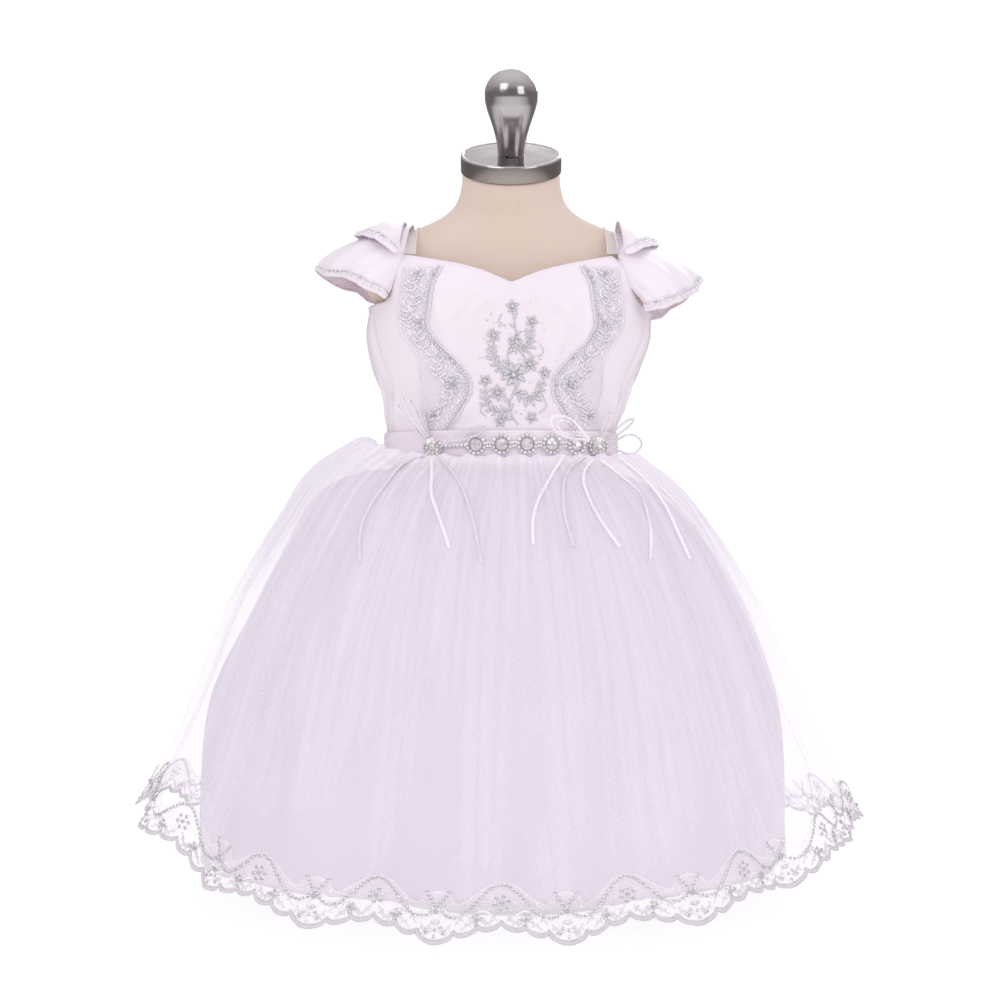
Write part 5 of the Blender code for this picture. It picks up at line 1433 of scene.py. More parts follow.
# soft creases of the satin: azimuth (degrees) and height of the middle, half
# length, half width (mm on the cloth), slant from upright (degrees), depth
CREASE_COLUMNS = ("azimuth", "z", "long", "wide", "slant", "depth")
CREASES = (
    (-19, 0.3600, 0.017, 0.0030, 52, 0.0011), (-26, 0.3660, 0.014, 0.0026, 48, -0.0009),
    (-14, 0.3540, 0.013, 0.0024, 60, -0.0008), (24, 0.3570, 0.015, 0.0026, -50, 0.0010),
    (17, 0.3530, 0.012, 0.0024, -62, -0.0008), (31, 0.3640, 0.014, 0.0028, -44, -0.0009),
    (21, 0.4160, 0.026, 0.0036, 14, -0.0009), (27, 0.4080, 0.022, 0.0030, 8, 0.0009),
    (-24, 0.4220, 0.022, 0.0034, -16, 0.0008), (6, 0.4480, 0.010, 0.0024, 40, 0.0007),
    (-7, 0.4470, 0.010, 0.0024, -42, 0.0007), (11, 0.4430, 0.013, 0.0026, -54, 0.0011),
    (15, 0.4370, 0.015, 0.0028, -50, -0.0010), (20, 0.4310, 0.014, 0.0028, -46, 0.0010),
    (-10, 0.4400, 0.012, 0.0026, 50, 0.0009), (-15, 0.4340, 0.012, 0.0026, 46, -0.0008), (-62, 0.3620, 0.018, 0.0036, 24, 0.0012),
    (-70, 0.3560, 0.015, 0.0030, 30, -0.0011), (-78, 0.3700, 0.019, 0.0034, 18, 0.0010),
    (-66, 0.4120, 0.022, 0.0044, -20, -0.0012), (63, 0.3640, 0.018, 0.0034, -26, 0.0012),
    (72, 0.3580, 0.016, 0.0030, -20, -0.0011), (80, 0.3720, 0.018, 0.0034, -30, 0.0010),
    (68, 0.4140, 0.024, 0.0044, 18, -0.0012), (-96, 0.3600, 0.016, 0.0034, 22, 0.0011),
    (-110, 0.3720, 0.020, 0.0040, 30, -0.0011), (-128, 0.3600, 0.017, 0.0034, 46, 0.0010),
    (-150, 0.3660, 0.020, 0.0036, 54, -0.0009), (-165, 0.4200, 0.022, 0.0040, -12, 0.0009),
    (98, 0.3620, 0.016, 0.0034, -24, 0.0011), (114, 0.3700, 0.020, 0.0040, -34, -0.0011),
    (132, 0.3580, 0.017, 0.0034, -48, 0.0010), (152, 0.3680, 0.020, 0.0036, -52, -0.0009),
    (166, 0.4180, 0.022, 0.0040, 14, 0.0009), (140, 0.4240, 0.020, 0.0040, 10, -0.0008),
    (-138, 0.4260, 0.020, 0.0040, -8, 0.0008),
)


def bodice_crease(angle, z):
    deg = np.degrees(angle)
    total = np.zeros(np.broadcast(deg, np.asarray(z)).shape)
    for az, zc, length, wide, slant, depth in CREASES:
        u = turned(deg, az) / 57.3 * 0.095
        v = np.asarray(z) - zc
        c, s = math.cos(math.radians(slant)), math.sin(math.radians(slant))
        along, across = v * c + u * s, u * c - v * s
        total = total + 1.9 * depth * np.exp(-(along / length) ** 4
                                       - (across / wide) ** 2)
    return total


def bodice_piece(name, node, a0, a1, cols, rows=52):
    angles = np.radians(np.linspace(a0, a1, cols))
    top = top_edge(angles)
    t = np.linspace(0, 1, rows)[:, None]
    z = WAIST_Z + (top[None, :] - WAIST_Z) * t
    a = np.broadcast_to(angles, z.shape)
    near = np.clip((top[None, :] - z) / 0.010, 0, 1)
    low = np.clip((z - WAIST_Z - 0.02) / 0.012, 0, 1)
    p = bodice_point(a, z)
    n = bodice_normal(a, z)
    shift = bodice_crease(a, z) * smooth01(near) * smooth01(low)
    # a turned and stitched edge stands slightly proud
    rim = 0.0005 * (1 - smooth01((top[None, :] - z - 0.0040) / 0.0008))
    stitch = -0.0004 * np.exp(-((top[None, :] - z - 0.0046) / 0.0006) ** 2)
    grid = p + n * (shift + rim + stitch)[..., None]
    obj = grid_mesh(name, grid, SATIN_MAT, wall=0.0006,
                    uv=np.stack([a, z], -1).reshape(-1, 2))
    keep(obj, "satin", node)
    return obj, grid


N_B = 200
bf, bf_grid = bodice_piece("bodice_front_cloth", "bodice_front", -89.97, 89.97,
                           N_B)
for side, a0, a1 in (("right", 90.03, 179.97), ("left", -179.97, -90.03)):
    bb, _ = bodice_piece("bodice_back_cloth_" + side, "bodice_back_" + side,
                         a0, a1, N_B // 2)
# binding along the front neckline and the centre back placket
b = Builder()
a = np.radians(np.linspace(-56, 56, 260))
z = top_edge(a) - 0.0003
v, f = tube(bodice_out(a, z, 0.0003 + 0 * a), 0.00075, 8, 0.9,
            bodice_normal(a, z))
b.add(v, f, 0)
a = np.radians(np.linspace(124, 236, 200))
a = np.where(a > math.pi, a - 2 * math.pi, a)
z = top_edge(a) - 0.0003
for part in (a > 0, a < 0):
    v, f = tube(bodice_out(a[part], z[part], 0.0003 + 0 * a[part]), 0.00075, 8,
                0.9, bodice_normal(a[part], z[part]))
    b.add(v, f, 0)
for sign in (-1, 1):
    zz = np.linspace(WAIST_Z + 0.024, 0.4725, 60)
    aa = sign * (math.pi - 0.006) + 0 * zz
    v, f = tube(bodice_out(aa, zz, 0.0006 + 0 * zz), 0.0008, 8, 0.7,
                bodice_normal(aa, zz))
    b.add(v, f, 0)
    zz = np.linspace(WAIST_Z + 0.024, 0.4725, 60)
    aa = sign * (math.pi - 0.115) + 0 * zz
    v, f = tube(bodice_out(aa, zz, 0.0004 + 0 * zz), 0.00030, 5, 0.7,
                bodice_normal(aa, zz))
    b.add(v, f, 1)
obj = b.build("bodice_binding", [SASH_MAT, STITCH_MAT])
keep(obj, "satin")

# --------------------------------------------------------------- appliques
AZ = column(APPLIQUE, APPLIQUE_COLUMNS, "z")
A_IN = column(APPLIQUE, APPLIQUE_COLUMNS, "inner")
A_OUT = column(APPLIQUE, APPLIQUE_COLUMNS, "outer")
VEIN_COLUMNS = ("z", "share")     # stem through the lace, share from outer edge
VEIN = ((0.3490, 0.45), (0.3580, 0.30), (0.3680, 0.55), (0.3790, 0.62),
        (0.3890, 0.40), (0.3990, 0.55), (0.4100, 0.40), (0.4200, 0.60),
        (0.4320, 0.35), (0.4440, 0.62), (0.4560, 0.38), (0.4680, 0.55))
for side, sign in (("left", -1.0), ("right", 1.0)):
    r = rng(31 if side == "left" else 37)
    rows, cols = ((170, 26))
    zz = np.linspace(AZ[0], AZ[-1], rows)
    inner, outer = curve_at(AZ, A_IN, zz), curve_at(AZ, A_OUT, zz)
    # scallops stand 3.5 mm inside the bead line
    run = np.concatenate([[0], np.cumsum(np.hypot(np.diff(inner),
                                                  np.diff(zz)))])
    scallop = 0.0026 + 0.0013 * np.abs(np.sin(run / 0.0070 * math.pi)) ** 0.7
    lip = inner - scallop * smooth01((zz - AZ[0]) / 0.004)
    back_scallop = 0.0010 * np.abs(np.sin(run / 0.0095 * math.pi))
    out_edge = outer - 0.0012 + back_scallop
    t = np.linspace(0, 1, cols)
    x = sign * (out_edge[:, None] + (lip - out_edge)[:, None] * t[None, :])
    z2 = np.broadcast_to(zz[:, None], x.shape)
    p, n = bodice_xz(x, z2, 0.00095 + 0 * x)
    if sign > 0:
        p = p[:, ::-1]
    width = np.abs(lip - out_edge)[:, None] * np.ones(cols)[None, :]
    from_lip = width * (1 - t)[None, :]
    from_out = width * t[None, :]
    edge = np.maximum(1 - smooth01((from_lip - 0.0012) / 0.0006),
                      1 - smooth01((from_out - 0.0009) / 0.0006))
    uv = np.stack([np.broadcast_to(zz[:, None], x.shape), from_lip], -1)
    if sign > 0:
        edge, uv = edge[:, ::-1], uv[:, ::-1]
    panel = grid_mesh("applique_" + side, p, PANEL_MAT, attrs={"edge": edge},
                      uv=uv.reshape(-1, 2))
    keep(panel, "lace", "lace_panel_" + side)
    b = Builder()
    # stitched scalloped edge and the stem with its leaves
    p, n = bodice_xz(sign * (lip + 0.0002), zz, 0.0013 + 0 * zz)
    v, f = tube(p, 0.00052, 6, 0.7, n)
    b.add(v, f, 0)
    p, n = bodice_xz(sign * out_edge, zz, 0.0013 + 0 * zz)
    v, f = tube(p, 0.00048, 6, 0.7, n)
    b.add(v, f, 0)
    vz, vs = np.array([q[0] for q in VEIN]), np.array([q[1] for q in VEIN])
    sz = np.linspace(vz[0], vz[-1], 130)
    share = curve_at(vz, vs, sz)
    so, si = curve_at(AZ, A_OUT, sz), curve_at(AZ, A_IN, sz)
    sx = so + (si - so) * share
    p, n = bodice_xz(sign * sx, sz, 0.0014 + 0 * sz)
    v, f = tube(p, 0.00050, 6, 0.7, n)
    b.add(v, f, 0)
    for m in range(5, 126, 6):
        for way in (-1, 1):
            e = np.linspace(0, 1, 7)
            reach = 0.0062 + r.uniform(-0.0012, 0.0012)
            lx = sx[m] + way * reach * e
            lz = sz[m] + 0.0042 * e ** 1.6 + r.uniform(-0.0003, 0.0003)
            low_x = np.interp(lz, zz, lip) + 0.0016
            high_x = np.interp(lz, zz, out_edge) - 0.0012
            lx = np.clip(lx, low_x, high_x)
            p, n = bodice_xz(sign * lx, lz, 0.0014 + 0 * lz)
            wide = 0.00022 + 0.00095 * np.sin(np.pi * np.clip(e * 1.02, 0, 1)) ** 0.8
            v, f = tube(p, wide, 6, 0.42, n)
            b.add(v, f, 0)
    vines = b.build("applique_stitching_" + side, [STITCH_MAT])
    keep(vines, "lace")
    # silver bead chain on the inner edge, flower and clusters
    b = Builder()
    count = int(run[-1] / 0.0024)
    at = np.linspace(0.0012, run[-1] - 0.0006, count)
    bz = np.interp(at, run, zz)
    bx = np.interp(at, run, inner)
    p, n = bodice_xz(sign * bx, bz, 0.0012 + 0 * bz)
    for i in range(count):
        dark = r.uniform() < 0.12
        add_bead(b, p[i], n[i], 0.00120 + r.uniform(-0.0001, 0.0001),
                 2 if dark else 1, lift=0.7)

    def set_on(x, z, radius, slot, kind="bead"):
        p, n = bodice_xz(np.array([sign * x]), np.array([z]), np.array([0.0012]))
        if kind == "bead":
            add_bead(b, p[0], n[0], radius, slot, lift=0.8)
        else:
            add_sequin(b, p[0], n[0], radius, r.uniform(-0.3, 0.3),
                       r.uniform(0, 6.28), 0, lift=0.0008)

    set_on(0.0440, 0.3815, 0.0022, 2)
    for q in range(6):
        ang = q * math.pi / 3 + 0.25
        set_on(0.0440 + 0.0050 * math.cos(ang), 0.3815 + 0.0050 * math.sin(ang),
               0.0018, 0, "sequin")
    for cx, cz in ((0.0712, 0.4655), (0.0590, 0.3585), (0.0700, 0.4280)):
        set_on(cx, cz, 0.0016, 2)
        for q in range(4):
            ang = q * math.pi / 2 + r.uniform(-0.4, 0.4)
            set_on(cx + 0.0034 * math.cos(ang), cz + 0.0034 * math.sin(ang),
                   0.0014, 0, "sequin")
    for m in range(8, 124, 12):
        set_on(sx[m] + 0.0030 * (1 if (m // 12) % 2 else -1), sz[m] + 0.0015,
               0.0009, 1)
    beads = b.build("applique_beads_" + side, [SEQUIN_MAT, BEAD_MAT, DARK_MAT])
    keep(beads, "rhinestone")


# ------------------------------------------------------------- dress form
def neck_axis():
    return np.array([0.0, -math.sin(NECK_TILT), math.cos(NECK_TILT)])


def build_form():
    fz = column(FORM, FORM_COLUMNS, "z")
    sides = 120
    keys = []
    a = -np.pi + 2 * np.pi * np.arange(sides) / sides
    for z, half, front, back, lean in FORM:
        x, y = oval(a, half, half, front, back, 2.2)
        keys.append(np.stack([x, y, z + lean * (y - NECK_TOP.y)], -1))
    up = neck_axis()
    side = np.array([1.0, 0, 0])
    forward = np.cross(side, up)
    keys.append(np.array(NECK_TOP)[None, :] + NECK_R * (
        np.sin(a)[:, None] * side + np.cos(a)[:, None] * forward))
    keys[-1] = keys[-1] if np.dot(keys[-1][0] - keys[-1][sides // 2],
                                  keys[-2][0] - keys[-2][sides // 2]) > 0 else \
        np.roll(keys[-1], sides // 2, 0)
    grid, t = loft(np.array(keys), 110)
    # seam lines of the cover down the front, the back and the sides
    angle = np.broadcast_to(a, grid.shape[:2])
    groove = np.zeros(angle.shape)
    for c in (-math.pi / 2, math.pi / 2, 0.0, math.pi):
        d = np.abs((angle - c + math.pi) % (2 * math.pi) - math.pi)
        groove -= 0.00035 * np.exp(-(d / 0.030) ** 2)
    grid = grid + grid_normals(grid) * groove[..., None]
    rows = grid.shape[0]
    faces = grid_faces(rows, sides, True).tolist()
    faces.append(tuple(reversed(range(sides))))
    faces.append(tuple((rows - 1) * sides + j for j in range(sides)))
    torso = make_mesh("torso_cover", grid.reshape(-1, 3), faces, LINEN_MAT)
    torso.data.set_sharp_from_angle(angle=math.radians(55))
    keep(torso, "linen", "form_torso")

    def lathe(name, profile, origin, mats, slots, slot, node, steps=128):
        prof = np.array(profile, float)
        q = 2 * np.pi * np.arange(steps) / steps
        across = np.cross(up, side)
        ring = (np.cos(q)[:, None] * side + np.sin(q)[:, None] * across)
        v = (np.array(origin)[None, None, :] + ring[None] * prof[:, None, :1]
             + up[None, None, :] * prof[:, None, 1:2])
        n = len(prof)
        b = Builder()
        b.v.append(v.reshape(-1, 3))
        b.n = n * steps
        for i in range(n - 1):
            for j in range(steps):
                k = (j + 1) % steps
                b.f.append((i * steps + j, i * steps + k, (i + 1) * steps + k,
                            (i + 1) * steps + j))
                b.m.append(slots[i])
        if prof[0, 0] > 1e-5:
            b.f.append(tuple(reversed(range(steps))))
            b.m.append(slots[0])
        if prof[-1, 0] > 1e-5:
            b.f.append(tuple((n - 1) * steps + j for j in range(steps)))
            b.m.append(slots[-1])
        obj = b.build(name, mats)
        obj.data.set_sharp_from_angle(angle=math.radians(32))
        keep(obj, slot, node)
        return obj

    # cap: brushed side, bright bevelled rim, polished top plate
    r, h = CAP_R, CAP_H
    profile = [(0.0002, 0.0), (r - 0.0010, 0.0), (r - 0.0002, 0.0006),
               (r, 0.0014), (r, h - 0.0018), (r - 0.0003, h - 0.0008),
               (r - 0.0012, h), (r - 0.0020, h), (r - 0.0026, h - 0.0005),
               (0.0200, h - 0.0004), (0.0002, h - 0.0004)]
    slots = [0, 0, 0, 0, 2, 2, 2, 1, 1, 1]
    top = np.array(NECK_TOP)
    lathe("neck_cap", profile, top + up * GAP, [CAP_MAT, PLATE_MAT, POLE_MAT],
          slots, "satin_chrome", "form_neck_cap")
    pr = np.array(KNOB)[::-1]
    s = np.arange(len(pr))
    fine = np.linspace(0, len(pr) - 1, 90)
    prof = np.stack([curve_at(s, pr[:, 0], fine), curve_at(s, pr[:, 1], fine)],
                    -1)
    prof[-1, 0] = 0.0
    base = [(0.0002, 0.0), (0.0104, 0.0), (0.0108, 0.0004)]
    prof = np.concatenate([base, prof[1:]])
    lathe("knob_body", prof, top + up * (GAP * 2 + CAP_H), [KNOB_SHADED_MAT],
          [0] * (len(prof) - 1), "satin_chrome", "form_knob")
    for node, mat in (("form_pole", POLE_MAT), ("form_base", BASE_MAT)):
        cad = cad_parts[node]
        cad.data.materials.clear()
        cad.data.materials.append(mat)
    return torso


torso = build_form()


# ------------------------------------------------- straps, sleeves, sash
def cad_tree(names):
    """Ray tree over CAD nodes and pieces, in table heights."""
    verts, faces = [], []
    for item in names:
        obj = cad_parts[item] if isinstance(item, str) else item
        base = len(verts)
        verts += [v.co - Vector((0, 0, DATUM)) for v in obj.data.vertices]
        faces += [tuple(base + i for i in p.vertices) for p in obj.data.polygons]
    return BVHTree.FromPolygons(verts, faces)


def front_y(tree, x, z, default):
    hit = tree.ray_cast(Vector((x, -1.0, z)), Vector((0, 1, 0)))
    return hit[0].y if hit[0] is not None else default


def build_straps():
    tree = cad_tree([torso])
    ys, zs = column(STRAP, STRAP_COLUMNS, "y"), column(STRAP, STRAP_COLUMNS, "z")
    y = np.linspace(ys[0], ys[-1], 60)
    for side, sign in (("left", -1), ("right", 1)):
        grid, tops = [], []
        for yy in y:
            z = float(curve_at(ys, zs, yy))
            row = []
            for dx in np.linspace(-STRAP_W / 2, STRAP_W / 2, 9):
                x = sign * STRAP_X + dx
                hit = tree.ray_cast(Vector((x, yy, 1.0)), Vector((0, 0, -1)))[0]
                row.append((x, yy, z if hit is None else max(
                    z - 0.0004, hit.z + 0.0010)))
            grid.append(row)
        grid = np.array(grid)
        for _ in range(3):
            grid[1:-1, :, 2] = np.maximum(grid[1:-1, :, 2], (
                grid[:-2, :, 2] + grid[2:, :, 2]) / 2)
        obj = grid_mesh("strap_net_" + side, grid, VEIL_MAT,
                        attrs={"layers": np.full(grid.shape[:2], 0.45),
                               "turn": np.broadcast_to(
                                   np.linspace(0, 0.3, 9), grid.shape[:2])})
        keep(obj, "sheer", "strap_" + side)
        b = Builder()
        for j in (0, 8):
            v, f = tube(grid[:, j] + np.array([0, 0, 0.0002]), 0.00042, 6, 0.8,
                        np.array([0, 0, 1.0]))
            b.add(v, f, 0)
        hemmed = b.build("strap_edges_" + side, [STITCH_MAT])
        keep(hemmed, "sheer")


build_straps()


# sleeve pleats: place along the seam (0 front, 1 back), half width, depth,
# and where it starts from the seam (0) towards the hem (1)
TUCK_COLUMNS = ("s", "width", "depth", "start")
TUCKS = (
    (0.07, 0.018, 0.0010, 0.10), (0.13, 0.015, -0.0012, 0.05),
    (0.19, 0.020, 0.0014, 0.00), (0.25, 0.016, -0.0016, 0.10),
    (0.30, 0.018, 0.0014, 0.05), (0.355, 0.016, -0.0014, 0.00),
    (0.405, 0.020, 0.0018, 0.08), (0.46, 0.018, -0.0014, 0.15),
    (0.52, 0.022, 0.0016, 0.02), (0.58, 0.018, -0.0016, 0.12),
    (0.635, 0.020, 0.0016, 0.00), (0.69, 0.018, -0.0014, 0.08),
    (0.75, 0.020, 0.0014, 0.05), (0.81, 0.016, -0.0014, 0.10),
    (0.87, 0.018, 0.0012, 0.00), (0.93, 0.016, -0.0010, 0.10),
)


def sleeve_surface(rows, s, t, drop=0.0, reach=1.0):
    s_col = column(rows, SLEEVE_COLUMNS, "s")
    out = []
    for part in ("seam", "crown", "hem"):
        p = np.stack([curve_at(s_col, column(rows, SLEEVE_COLUMNS,
                                             part + "_" + c), s)
                      for c in "xyz"], -1)
        out.append(p)
    seam, crown, hem = out
    fall = drop * np.sin(math.pi * s)
    hem[..., 2] -= fall
    crown[..., 2] -= fall * 0.6
    hem[..., 0] = seam[..., 0] + (hem[..., 0] - seam[..., 0]) * reach
    crown[..., 0] = seam[..., 0] + (crown[..., 0] - seam[..., 0]) * reach
    t = t[..., None]
    return seam * (1 - t) ** 2 + crown * 2 * t * (1 - t) + hem * t * t


def from_end(run, m):
    return min(run[m], run[-1] - run[m])


def build_sleeve(name, node, rows, sign, drop=0.0, reach=1.0, band=0.0055,
                 seed=1, amount=1.0):
    cols, lines = ((120, 30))
    s = np.linspace(0, 1, cols)[None, :] * np.ones(lines)[:, None]
    # the last rows are the allowance inside the armhole seam
    last = 1.07
    t = np.linspace(1, 1 - last, lines)[:, None] * np.ones(cols)[None, :]
    base = sleeve_surface(rows, s, t, drop, reach)
    length = np.linalg.norm(np.diff(base, axis=0), axis=-1).sum(0)
    r = rng(seed)
    shift = np.zeros(s.shape)
    for s0, width, depth, start in TUCKS:
        c = s0 + r.uniform(-0.008, 0.008) + (s0 - 0.5) * 0.06 * (t - 0.5)
        fade = smooth01((t - start) / 0.25) * (0.35 + 0.65 * t)
        shift += depth * amount * np.exp(-((s - c) / width) ** 2) * fade
    ends = smooth01(s / 0.08) * smooth01((1 - s) / 0.08)
    shift *= ends * np.clip(length / 0.035, 0.15, 1.0)[None, :]
    from_hem = (1 - t) * length[None, :]
    w = np.minimum(band, length * 0.45)[None, :]
    shift += 0.0007 * (1 - smooth01((from_hem - w) / 0.0007))
    shift -= 0.0003 * np.exp(-((from_hem - w - 0.0008) / 0.0005) ** 2)
    normal = grid_normals(base)
    grid = base + normal * shift[..., None]
    if sign < 0:
        grid = grid[:, ::-1] * np.array([-1.0, 1, 1])
    obj = grid_mesh(name, grid, SLEEVE_MAT, wall=0.0006,
                    uv=np.stack([s, t], -1).reshape(-1, 2))
    keep(obj, "satin", node)
    # bead line with tiny loops along the band's inner edge, stitched edges
    b = Builder()
    line_t = np.clip(1 - (w[0] + 0.0007) / length, 0.02, 0.98)
    fine = np.linspace(0.02, 0.98, 600)
    fi = fine * (cols - 1)
    ft = (1 - np.interp(fine, s[0], line_t)) / last * (lines - 1)
    src = grid[:, ::-1] if sign < 0 else grid
    p, n = on_grid(src, fi, ft)
    n = n * (1 if sign > 0 else -1)
    run = np.concatenate([[0], np.cumsum(np.linalg.norm(np.diff(p, axis=0),
                                                        axis=1))])
    count = int(run[-1] / 0.0021)
    at = np.linspace(0.0006, run[-1] - 0.0006, count)
    idx = np.clip(np.searchsorted(run, at), 0, len(run) - 1)
    for i in idx:
        dark = r.uniform() < 0.08
        add_bead(b, p[i], n[i], 0.00098, 1 if dark else 0, lift=0.7)
    ft2 = (1 - np.interp(fine, s[0], line_t) - 0.0021 / np.interp(
        fine, s[0], length)) / last * (lines - 1)
    p2, n2 = on_grid(src, fi, np.clip(ft2, 0.1, lines - 1.1))
    n2 = n2 * (1 if sign > 0 else -1)
    for q, i in enumerate(idx[:-1]):
        m = min(len(run) - 1, (i + idx[q + 1]) // 2)
        if from_end(run, m) > 0.003:
            add_bead(b, p2[m], n2[m], 0.00088, 2 if q % 3 else 0, lift=0.7)
    obj2 = b.build(name + "_beads", [BEAD_MAT, DARK_MAT, PEARL_MAT])
    keep(obj2, "rhinestone")
    b = Builder()
    # looped lace thread above the beads
    wig_t = np.interp(fine, s[0], line_t) - (
        0.0016 + 0.0009 * np.abs(np.sin(run / 0.0022 * math.pi))) / np.interp(
            fine, s[0], length)
    p3, n3 = on_grid(src, fi, (1 - np.clip(wig_t, 0.02, 0.99)) / last * (lines - 1))
    v, f = tube(p3 + n3 * (0.0002 if sign > 0 else -0.0002), 0.00030, 5, 0.8, n3)
    b.add(v, f, 0)
    ph, nh = on_grid(src, fi, 0 * fi + 0.02)
    v, f = tube(ph, 0.00070, 6, 0.8, nh)
    b.add(v, f, 1)
    ps, ns = on_grid(src, fi, 0 * fi + lines - 1.02)
    v, f = tube(ps, 0.00060, 6, 0.8, ns)
    b.add(v, f, 1)
    obj3 = b.build(name + "_stitching", [STITCH_MAT, SLEEVE_MAT])
    keep(obj3, "satin")
    area = float(np.linalg.norm(np.cross(
        grid[1:, :-1] - grid[:-1, :-1], grid[:-1, 1:] - grid[:-1, :-1]),
        axis=-1).sum())
    return obj, [obj2, obj3], area


SLEEVES = (
    ("sleeve_lower_left_cloth", "sleeve_lower_left", LOWER_LEFT, -1, 0.0, 1.0, 11, 1.0),
    ("sleeve_lower_right_cloth", "sleeve_lower_right", LOWER_RIGHT, 1, 0.0, 1.0, 12, 1.0),
    ("sleeve_upper_left_cloth", "sleeve_upper_left", UPPER_LEFT, -1, 0.0, 1.0, 13, 0.6),
    ("sleeve_upper_right_cloth", "sleeve_upper_right", UPPER_LEFT, 1,
     UPPER_RIGHT_DROP, UPPER_RIGHT_REACH, 14, 0.6),
)
for name, node, rows, sign, drop, reach, seed, amount in SLEEVES:
    obj, extra, area = build_sleeve(name, node, rows, sign, drop, reach,
                                    seed=seed, amount=amount)


def build_sash():
    cols, rows = ((260, 14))
    a = -np.pi + 2 * np.pi * np.arange(cols) / cols
    t = np.linspace(0, 1, rows)[:, None]
    z = SASH_LOW - 0.0006 + (SASH_HIGH - SASH_LOW + 0.0006) * t
    z = np.broadcast_to(z, (rows, cols))
    ang = np.broadcast_to(a, z.shape)
    roll = 0.0005 * (np.exp(-(t / 0.10) ** 2) + np.exp(-((1 - t) / 0.10) ** 2))
    ripple = (0.0005 * np.sin(ang * 9 + 2.0 * np.sin(ang * 2.0) + t * 2.2)
              * np.sin(math.pi * t)
              + 0.0004 * np.sin(t * 9.0 + 1.5 * np.sin(ang * 3.0)))
    tuckin = -0.0012 * np.clip(1 - t / 0.12, 0, 1)
    grid = bodice_out(ang, z, SASH_OFFSET + roll + ripple + tuckin)
    obj = grid_mesh("sash_band", grid, SASH_MAT, closed=True, wall=0.0006,
                    uv=np.stack([ang, z], -1).reshape(-1, 2))
    keep(obj, "sash_satin", "waist_sash")
    return obj


sash = build_sash()


# -------------------------------------------------- chain and brooches
def chain_line(x):
    (_, x0, z0), (_, x1, z1) = BROOCH
    f = (x - x0) / (x1 - x0)
    return z0 + (z1 - z0) * f + 0.0010 * math.sin(math.pi * f)


def sash_place(x, z, out):
    a = bodice_angle(np.array([x]), np.array([z]))
    n = bodice_normal(a, np.array([z]))[0]
    return bodice_point(a, np.array([z]))[0] + n * out, n


CHAIN_OUT = SASH_OFFSET + SATIN / 2 + 0.0008
b = Builder()
r = rng(77)
for c in MEDAL_X:
    zc = chain_line(c)
    p, n = sash_place(c, zc, CHAIN_OUT)
    right, up_, n = frame_at(n)
    # claw plate, crystal, ring of petals and rim beads
    ring = np.arange(24) * 2 * np.pi / 24
    loop = p + 0.0048 * (np.cos(ring)[:, None] * right
                         + np.sin(ring)[:, None] * up_) + n * 0.0005
    v, f = tube(loop, 0.0006, 6, 1.0, n, closed=True)
    b.add(v, f, 1)
    add_crystal(b, p + n * 0.0003, n, 0.0046, 0, 12, r.uniform(0, 1), 0.52)
    for q in range(13):
        ang = q * 2 * math.pi / 13 + 0.15
        d = right * math.cos(ang) + up_ * math.sin(ang)
        add_bead(b, p + d * 0.0067 + n * 0.0001, n, 0.00140,
                 (2, 4, 2, 0)[q % 4], lift=0.8, fine=True)
        if q % 2:
            add_bead(b, p + d * 0.0083, n, 0.00078, 2, lift=0.7)
links = [((a0 + a1) / 2) for a0, a1 in zip(MEDAL_X[:-1], MEDAL_X[1:])]
for c in links:
    for k, dx in enumerate((-0.0010, 0.0010)):
        for dz in (-0.00125, 0.00125):
            p, n = sash_place(c + dx, chain_line(c) + dz, CHAIN_OUT)
            add_bead(b, p, n, 0.00105, 4, lift=0.8,
                     fine=True)
x0, x1 = BROOCH[0][1] + BROOCH_R + 0.0008, MEDAL_X[0] - MEDAL_R - 0.0004
for i, c in enumerate(np.linspace(x0, x1, 7)):
    p, n = sash_place(c, chain_line(c), CHAIN_OUT)
    add_bead(b, p, n, 0.00145, 4, 0.95, True, 0.8)
    if i:
        for dz in (-0.0019, 0.0019):
            p, n = sash_place(c - (x1 - x0) / 12, chain_line(c) + dz, CHAIN_OUT)
            add_bead(b, p, n, 0.00075, 0, lift=0.7)
x0, x1 = MEDAL_X[-1] + MEDAL_R, BROOCH[1][1] - BROOCH_R
for c in np.linspace(x0 + 0.0006, x1 - 0.0004, 2):
    p, n = sash_place(c, chain_line(c), CHAIN_OUT)
    add_bead(b, p, n, 0.0010, 2, lift=0.7)
chain = b.build("rhinestone_chain", [STONE_MAT, CLAW_MAT, BEAD_MAT, DARK_MAT,
                                     PEARL_MAT], smooth=False)
keep(chain, "rhinestone", "belt_chain")


def brooch_frame(x, z):
    p, n0 = sash_place(x - math.copysign(0.0016, x), z - 0.0008, SASH_OFFSET)
    n = n0 + np.array([0, -1.6, 0])
    n = n / np.linalg.norm(n)
    return p + n * 0.0070, n


